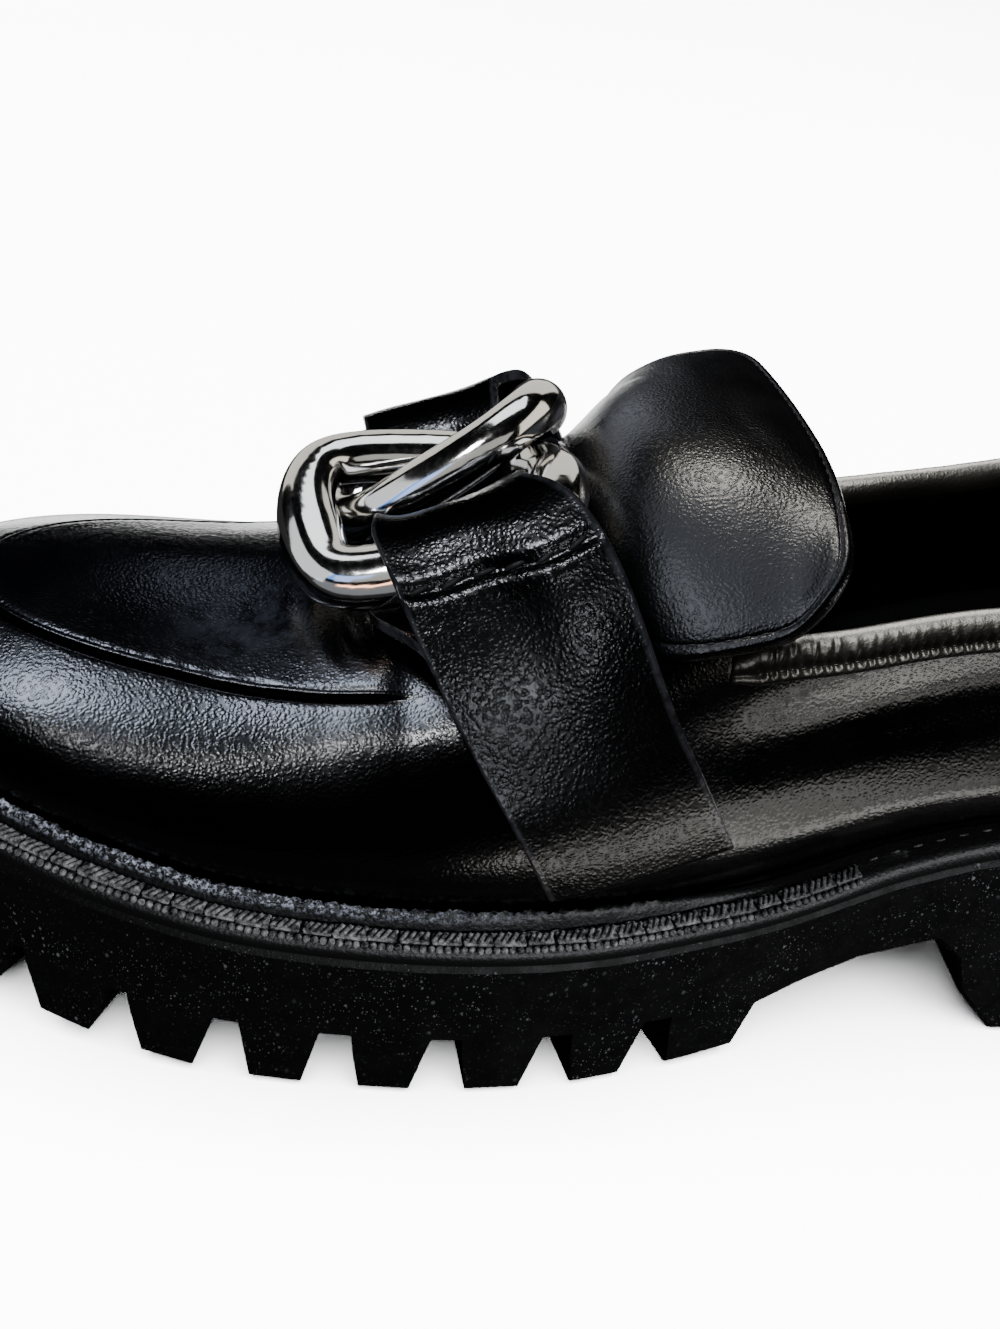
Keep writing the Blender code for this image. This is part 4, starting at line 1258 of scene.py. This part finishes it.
def effect(name, knob, value, *outputs):
    """A shared effect, worked out from the place and one knob: its nodes, the knob, and its inner ends."""
    tree = bpy.data.node_groups.new(name, "ShaderNodeTree")
    tree.interface.new_socket("Place", in_out="INPUT", socket_type="NodeSocketVector")
    tree.interface.new_socket(knob, in_out="INPUT", socket_type="NodeSocketFloat").default_value = value
    for key in outputs:
        tree.interface.new_socket(key, in_out="OUTPUT", socket_type="NodeSocketFloat")
    given = tree.nodes.new("NodeGroupInput").outputs
    return Nodes(tree, given["Place"]), given[knob], tree.nodes.new("NodeGroupOutput").inputs


def hide_grain_effect():
    """Pebbled leather: rounded cells parted by fine creases, finer pores on them, and slow unevenness."""
    look, cells, out = effect("hide_grain", "Cells", 1500.0, "Height", "Cloud")
    wobble = look.add("TexNoise", {"Vector": look.place_in, "Scale": 700.0, "Detail": 2.0})["Color"]
    shift = look.move("SUBTRACT", wobble, (0.5, 0.5, 0.5))
    small = look.add("VectorMath", {0: shift, "Scale": 0.0011}, operation="SCALE")[0]
    moved = look.move("ADD", look.place_in, small)
    grid = {"Vector": moved, "Scale": cells, "Randomness": 0.9}
    cell = look.add("TexVoronoi", grid, feature="F1")["Distance"]
    strength = look.spread(look.noise(140.0, 2.0), 0.3, 0.7, 0.8, 1.0)
    pebble = look.times(look.spread(cell, 0.75, 0.05), strength)
    look.give(out["Height"], look.maths("ADD", pebble, look.times(look.noise(5200.0, 2.0), 0.04)))
    look.give(out["Cloud"], look.noise(60.0))
    return look.tree


def lint_effect():
    """Pale flecks and dust caught on rubber."""
    look, amount, out = effect("lint", "Amount", 0.5, "Flecks", "Dust")
    warped = look.move("MULTIPLY", look.place_in, (1.0, 1.6, 0.75))
    share = look.times(amount, 0.75)
    flecks = 0.0
    for scale, size in ((420.0, 0.17), (800.0, 0.22), (1500.0, 0.26), (2600.0, 0.28)):
        cell = look.add("TexVoronoi", {"Vector": warped, "Scale": scale}, feature="F1")
        pick = look.add("SeparateColor", {0: cell["Color"]})[0]
        spot = look.spread(cell["Distance"], size, size * 0.45)
        fleck = look.times(spot, look.maths("GREATER_THAN", share, pick))
        flecks = look.maths("MAXIMUM", flecks, fleck)
    patch = look.maths("ADD", 0.1, look.spread(look.noise(90.0, 4.0), 0.42, 0.68))
    look.give(out["Flecks"], look.maths("MULTIPLY", flecks, patch, clamp=True))
    look.give(out["Dust"], look.spread(look.noise(900.0, 5.0, 0.7), 0.35, 0.75))
    return look.tree


# cells of the grain in a metre, its height, the darkest and the palest colour, the roughness
LEATHERS = {
    "vamp": (1700.0, 0.000024, (0.0006, 0.0006, 0.0012, 1), (0.0011, 0.0011, 0.0019, 1), 0.19),
    "collar": (1700.0, 0.00003, (0.002, 0.0019, 0.0017, 1), (0.004, 0.0038, 0.0034, 1), 0.36),
    "tongue": (1900.0, 0.000036, (0.0012, 0.0012, 0.0018, 1), (0.003, 0.003, 0.0038, 1), 0.28),
    "strap": (1600.0, 0.000038, (0.0008, 0.0008, 0.0012, 1), (0.0016, 0.0016, 0.002, 1), 0.24),
}
SHEEN_PAINTED_AT = (0.0715, 0.008, 0.056)  # painted sheen: round here, by the chain, the vamp is painted a hazy paler blue-grey for the light it catches
PAINTED_SHADE_ENDS = (-0.0215, -0.0145)  # painted shade: the footbed is painted black behind these places, fading in between them, for the deep shade inside the heel
PAINTED_SHADE_BLACK = (0.0015, 0.0015, 0.0017, 1)


def leather_finish(name, grain, cells, depth, dark, light, rough):
    look = Finish(name + "_leather")
    hide = look.use(grain, "Cells", cells)
    colour = look.blend(look.spread(hide["Cloud"], 0.35, 0.7), dark, light)
    if name == "strap":
        # the strap's cut edges are painted pale grey, partly their own paler colour and partly a painted
        # highlight, and the outer face's edges carry that painted highlight too
        edge_and_highlight = look.add("Attribute", attribute_name="edge_and_highlight")["Fac"]
        broken = look.times(edge_and_highlight, look.spread(look.noise(500.0), 0.3, 0.6, 0.35, 1.0))
        colour = look.blend(broken, colour, (0.075, 0.075, 0.085, 1))
    if name == "vamp":
        # painted sheen: near the chain the vamp is painted paler blue-grey in patches, standing for light on
        # it
        away = look.add("VectorMath", {0: look.place_in, 1: SHEEN_PAINTED_AT}, operation="DISTANCE")["Value"]
        patchy = look.spread(look.noise(260.0, 4.0, 0.7), 0.35, 0.65)
        painted_sheen = look.times(look.spread(away, 0.016, 0.004), patchy)
        colour = look.blend(painted_sheen, colour, (0.040, 0.044, 0.052, 1))
    roughness = look.spread(hide["Cloud"], 0.3, 0.7, rough - 0.02, rough + 0.04)
    return look.settle(colour, roughness, hide["Height"], depth)


def lining_finish():
    look = Finish("inner_lining")
    look.shader["Specular IOR Level"].default_value = 0.05
    weave = look.noise(2200.0, 2.0)
    colour = look.blend(weave, (0.0005, 0.0005, 0.0005, 1), (0.001, 0.001, 0.001, 1))
    return look.settle(colour, look.spread(weave, 0.3, 0.7, 0.75, 0.9), weave, 0.00008)


def footbed_finish():
    look = Finish("footbed_lining")
    fine, slow = look.noise(1800.0), look.noise(45.0)
    worn = look.blend(slow, (0.30, 0.31, 0.32, 1), (0.40, 0.41, 0.41, 1))
    shade = look.blend(look.times(fine, 0.25), worn, (0.22, 0.22, 0.22, 1))
    # painted shade: the footbed's back part is painted black for the deep shade inside the shoe, with a
    # ragged soft edge
    ragged = look.maths("ADD", look.axis(look.place_in, 0), look.times(slow, 0.006))
    colour = look.blend(look.spread(ragged, *PAINTED_SHADE_ENDS), PAINTED_SHADE_BLACK, shade)
    return look.settle(colour, look.spread(fine, 0.3, 0.7, 0.6, 0.75), fine, 0.00005)


def steel_finish():
    look = Finish("polished_steel")
    look.shader["Metallic"].default_value = 1.0
    slow = look.noise(110.0, 2.0)
    colour = look.blend(slow, (0.66, 0.67, 0.68, 1), (0.78, 0.76, 0.72, 1))
    scuffs = look.spread(look.noise(900.0, 4.0, 0.7), 0.35, 0.8, 0.09, 0.15)
    return look.settle(colour, scuffs, slow, 0.00012)


def sole_finish(lint):
    look = Finish("sole_rubber")
    flecks = look.use(lint, "Amount", 0.42)["Flecks"]
    base = look.blend(look.noise(260.0, 4.0), (0.0008, 0.0008, 0.0009, 1), (0.0025, 0.0025, 0.0027, 1))
    colour = look.blend(look.times(flecks, 0.85), base, (0.45, 0.46, 0.50, 1))
    skin = look.maths("ADD", look.noise(1600.0, 4.0), look.times(flecks, 1.2))
    return look.settle(colour, look.spread(look.noise(300.0), 0.3, 0.7, 0.52, 0.66), skin, 0.00012)


def dusted(look, dust, dark, pale):
    """Black rubber under so much dust."""
    skin = look.maths("ADD", look.noise(1900.0, 4.0), dust)
    return look.settle(look.blend(dust, dark, pale), look.spread(dust, 0.0, 0.6, 0.5, 0.85), skin, 0.00018)


def welt_finish():
    """Pale hairs lie on the upper face of the storm ridge, more of them toward the toe."""
    look = Finish("welt_rubber")
    front = look.spread(look.axis(look.place_in, 0), 0.020, 0.075)
    up = look.spread(look.axis(look.add("NewGeometry")["Normal"], 2), 0.0, 0.5)
    hairs = look.spread(look.noise(1500.0, 4.0, 0.75), 0.46, 0.60)
    ridge = look.add("Attribute", attribute_name="ridge")["Fac"]
    dust = look.times(front, ridge, up, hairs, 0.95)
    return dusted(look, dust, (0.0012, 0.0012, 0.0015, 1), (0.60, 0.64, 0.76, 1))


def wheeled_finish(lint):
    look = Finish("wheeled_rubber")
    front = look.spread(look.axis(look.place_in, 0), -0.02, 0.02, 0.35, 1.0)
    dust = look.times(look.use(lint, "Amount", 0.5)["Dust"], front, 0.9)
    return dusted(look, dust, (0.0015, 0.0015, 0.0017, 1), (0.50, 0.50, 0.51, 1))


def thread_finish():
    look = Finish("black_thread")
    twist = look.noise(4200.0, 2.0)
    colour = look.blend(twist, (0.008, 0.008, 0.009, 1), (0.03, 0.03, 0.032, 1))
    return look.settle(colour, look.spread(twist, 0.3, 0.7, 0.45, 0.6), twist, 0.00006)


# ---------------------------------------------------------------- the studio

CHAIN_MIDDLE = (0.045, 0.0, 0.075)
ON_UPPER = ("upper_leather",)
ON_TONGUE = ("tongue_flap", "tongue_stitches")
ON_INSIDE = ("footbed",)
ON_COLLAR = ("collar_roll", "collar_stitches")
ON_STRAPS = ("strap_outer", "strap_outer_stitches", "strap_inner", "strap_inner_stitches")
ON_SOLE = ("lug_sole",)
ON_WELT = ("welt_strip", "welt_wheeling", "welt_beads", "welt_stitches")
ON_FOOT = ("upper_leather", "strap_outer")
ON_CHAIN = ("link_outer", "link_inner")
ON_ALL = ON_UPPER + ON_TONGUE + ON_COLLAR + ON_STRAPS + ON_SOLE + ON_WELT
# name, place, what it is aimed at, size, power, colour, the pieces that it falls on
LAMPS = [
    ("floor_panel", (0, 0.5, 3), (0, 0, 0), (4, 4), 130, (1, 1, 1), ("floor",)),
    ("toe_panel", (0.385, -0.172, 0.755), (0.09, 0.03, 0.05), (0.25, 0.14), 2.5, (0.74, 0.82, 1), ON_UPPER),
    ("waist_panel", (0.357, 0.128, 0.775), (0.028, 0.042, 0.047), (0.09, 0.07), 0.007, (0.97, 0.97, 1),
     ON_UPPER),
    ("heel_panel", (-0.49, 0.6, 0.62), (-0.05, 0.03, 0.05), (0.4, 0.22), 0.6, (1, 0.95, 0.88), ON_UPPER),
    ("heel_card", (-0.16, 0.22, 0.004), (-0.01, 0.04, 0.065), (0.16, 0.04), 0.08, (1, 0.97, 0.92), ON_UPPER),
    ("apron_panel", (0.12, -0.6, 0.52), (0.06, 0, 0.07), (0.1, 0.06), 0.07, (0.7, 0.78, 1), ON_UPPER),
    ("tongue_panel", (0.03, -0.3, 0.74), (-0.01, 0, 0.08), (0.22, 0.07), 2.1, (1, 0.95, 0.87), ON_TONGUE),
    ("tongue_sky", (0.2, 0.05, 0.8), (0, 0, 0.08), (0.8, 0.8), 2.4, (0.8, 0.86, 1), ON_TONGUE),
    ("tongue_fill", (0.48, 0.3, 0.62), (0, 0.02, 0.08), (0.3, 0.3), 1.2, (0.82, 0.88, 1), ON_TONGUE),
    ("tongue_rim", (0.3, -0.66, 0.34), (0, 0, 0.08), (0.7, 0.3), 0.8, (0.84, 0.88, 1), ON_TONGUE),
    ("collar_panel", (-0.05, 0.15, 0.78), (-0.05, 0.03, 0.06), (0.3, 0.6), 15, (1, 0.97, 0.88), ON_COLLAR),
    ("collar_back", (-0.15, -0.52, 0.58), (-0.05, 0.03, 0.06), (0.5, 0.5), 14, (1, 0.97, 0.88), ON_COLLAR),
    ("collar_front", (0.1, 0.64, 0.45), (0, 0.03, 0.07), (0.3, 0.16), 2.5, (1, 0.97, 0.9), ON_COLLAR),
    ("inside_panel", (0.3, 0.3, 0.75), (0, 0, 0.05), (0.2, 0.2), 1.2, (0.9, 0.95, 1), ON_INSIDE),
    ("strap_panel", (0.42, 0.26, 0.78), (0.04, 0.03, 0.07), (0.1, 0.08), 2.6, (0.88, 0.92, 1), ON_STRAPS),
    ("strap_fill", (0.13, 0.68, 0.4), (0.03, 0.04, 0.05), (0.08, 0.08), 0.45, (0.88, 0.92, 1), ON_STRAPS),
    ("edge_panel", (-0.3, 0.8, 0.5), (0, 0.04, 0.04), (0.5, 0.12), 10, (0.95, 0.97, 1), ON_WELT),
    ("sole_panel", (-0.3, 0.8, 0.3), (0, 0.04, 0.02), (0.5, 0.12), 3, (0.95, 0.97, 1), ON_SOLE),
    ("low_card", (-0.055, 0.125, 0.004), (-0.01, 0.045, 0.045), (0.16, 0.02), 0.07, (1, 0.97, 0.92), ON_FOOT),
    ("inner_card", (0, -0.2, 0.004), (0, -0.03, 0.05), (0.36, 0.1), 0.55, (1, 1, 1), ON_ALL),
    ("back_card", (-0.3, 0, 0.004), (-0.12, 0, 0.05), (0.24, 0.1), 0.4, (1, 1, 1), ON_ALL),
    ("chain_top", (0.1, -0.16, 0.66), CHAIN_MIDDLE, (0.5, 0.42), 1.7, (0.93, 0.96, 1), ON_CHAIN),
    ("chain_back", (0.1, -0.65, 0.28), CHAIN_MIDDLE, (1.1, 0.55), 2, (0.98, 0.95, 0.86), ON_CHAIN),
    ("chain_toe", (0.62, 0.05, 0.22), CHAIN_MIDDLE, (0.7, 0.45), 1.2, (0.92, 0.94, 0.98), ON_CHAIN),
    ("chain_heel", (-0.5, 0.05, 0.26), CHAIN_MIDDLE, (0.7, 0.5), 1.6, (1, 0.93, 0.8), ON_CHAIN),
    ("chain_front", (0.1, 0.66, 0.36), CHAIN_MIDDLE, (1.1, 0.3), 0.6, (0.95, 0.95, 0.9), ON_CHAIN),
    ("chain_window", (0.3, 0.42, 0.52), CHAIN_MIDDLE, (0.12, 0.12), 2.4, (1, 1, 1), ON_CHAIN),
    ("chain_ember", (0.16, 0.55, 0.03), CHAIN_MIDDLE, (0.5, 0.06), 0.6, (1, 0.45, 0.25), ON_CHAIN),
    ("chain_blue", (0.45, 0.45, 0.3), CHAIN_MIDDLE, (0.26, 0.2), 0.3, (0.15, 0.35, 0.9), ON_CHAIN),
    ("chain_under", (0.06, 0.12, 0.005), CHAIN_MIDDLE, (0.5, 0.16), 0.08, (0.75, 0.8, 0.85), ON_CHAIN),
]  # fmt: skip
NARROW = {"waist_panel": 10}  # degrees; all other lamps are open


def stand(name, data, spot, turn):
    """A lamp or the camera, put in its place."""
    obj = bpy.data.objects.new(name, data)
    bpy.context.scene.collection.objects.link(obj)
    obj.matrix_world = Matrix.Translation(spot) @ turn.to_4x4()
    return obj


def make_camera():
    camera = bpy.data.cameras.new("camera")
    camera.sensor_width = 36.0
    camera.lens = 37.321
    camera.clip_start = 0.005
    right = Vector((-0.986535, 0.088535, 0.137513))
    up = Vector((0.062643, -0.572133, 0.817765))
    back = Vector((0.151077, 0.815369, 0.558883))
    turn = Matrix((right, up, back)).transposed()
    bpy.context.scene.camera = stand("camera", camera, (0.0660, 0.1798, 0.1685), turn)


def make_lamp(name, spot, aim, size, power, colour, pieces):
    """A soft panel that the camera doesn't see, and that falls on some of the pieces only."""
    panel = bpy.data.lights.new(name, "AREA")
    panel.shape = "RECTANGLE"
    panel.size, panel.size_y = size
    panel.energy = power
    panel.color = colour
    panel.spread = math.radians(NARROW.get(name, 180))
    way = Vector(aim) - Vector(spot)
    obj = stand(name, panel, spot, way.to_track_quat("-Z", "Y").to_matrix())
    obj.visible_camera = False
    group = bpy.data.collections.new(name + "_on")
    for piece in pieces:
        group.objects.link(bpy.data.objects[piece])
    obj.light_linking.receiver_collection = group


def make_floor():
    """A floor that looks pale, and throws hardly any light back on the shoe."""
    put_down()
    bpy.ops.mesh.primitive_plane_add(size=8)
    floor = bpy.context.object
    floor.name = floor.data.name = "floor"
    look = Finish("pale_floor")
    look.shader["Roughness"].default_value = 0.9
    look.shader["Base Color"].default_value = (0.012, 0.012, 0.0125, 1)
    dark = look.tree.nodes["Principled BSDF"].outputs[0]
    pale = look.add("BsdfDiffuse", {"Color": (14.0, 14.0, 14.0, 1)})[0]
    both = look.add("MixShader", {0: look.add("LightPath")["Is Camera Ray"], 1: dark, 2: pale})[0]
    look.give(look.tree.nodes["Material Output"].inputs["Surface"], both)
    floor.data.materials.append(look.made)


def make_sky():
    """White behind the shoe, and nearly dark for all that it lights."""
    world = bpy.data.worlds.new("studio")
    bpy.context.scene.world = world
    world.use_nodes = True
    world.node_tree.nodes.clear()
    look = Nodes(world.node_tree)
    plain = look.add("Background", {"Color": (1, 1, 1, 1), "Strength": 14.0})[0]
    dim = look.add("Background", {"Color": (0.75, 0.82, 1.0, 1), "Strength": 0.0022})[0]
    both = look.add("MixShader", {0: look.add("LightPath")["Is Camera Ray"], 1: dim, 2: plain})[0]
    look.give(look.tree.nodes.new("ShaderNodeOutputWorld").inputs["Surface"], both)


# ---------------------------------------------------------------- putting it together


def main():
    put_down()
    grain, lint, thread = hide_grain_effect(), lint_effect(), thread_finish()
    hides = {name: leather_finish(name, grain, *recipe) for name, recipe in LEATHERS.items()}
    steel = steel_finish()
    make_sole(sole_finish(lint))
    make_welt(welt_finish(), wheeled_finish(lint))
    make_insole(footbed_finish())
    make_upper(hides["vamp"], lining_finish())
    make_collar(hides["collar"])
    make_tongue(hides["tongue"], thread)
    make_strap("strap_outer", 1, hides["strap"], thread, "strap_lateral")
    make_strap("strap_inner", -1, hides["strap"], thread, "strap_medial")
    make_link("link_outer", 1, steel, "chain_link_lateral")
    make_link("link_inner", -1, steel, "chain_link_medial")
    make_camera()
    make_sky()
    make_floor()
    for lamp in LAMPS:
        make_lamp(*lamp)
    put_down()


main()
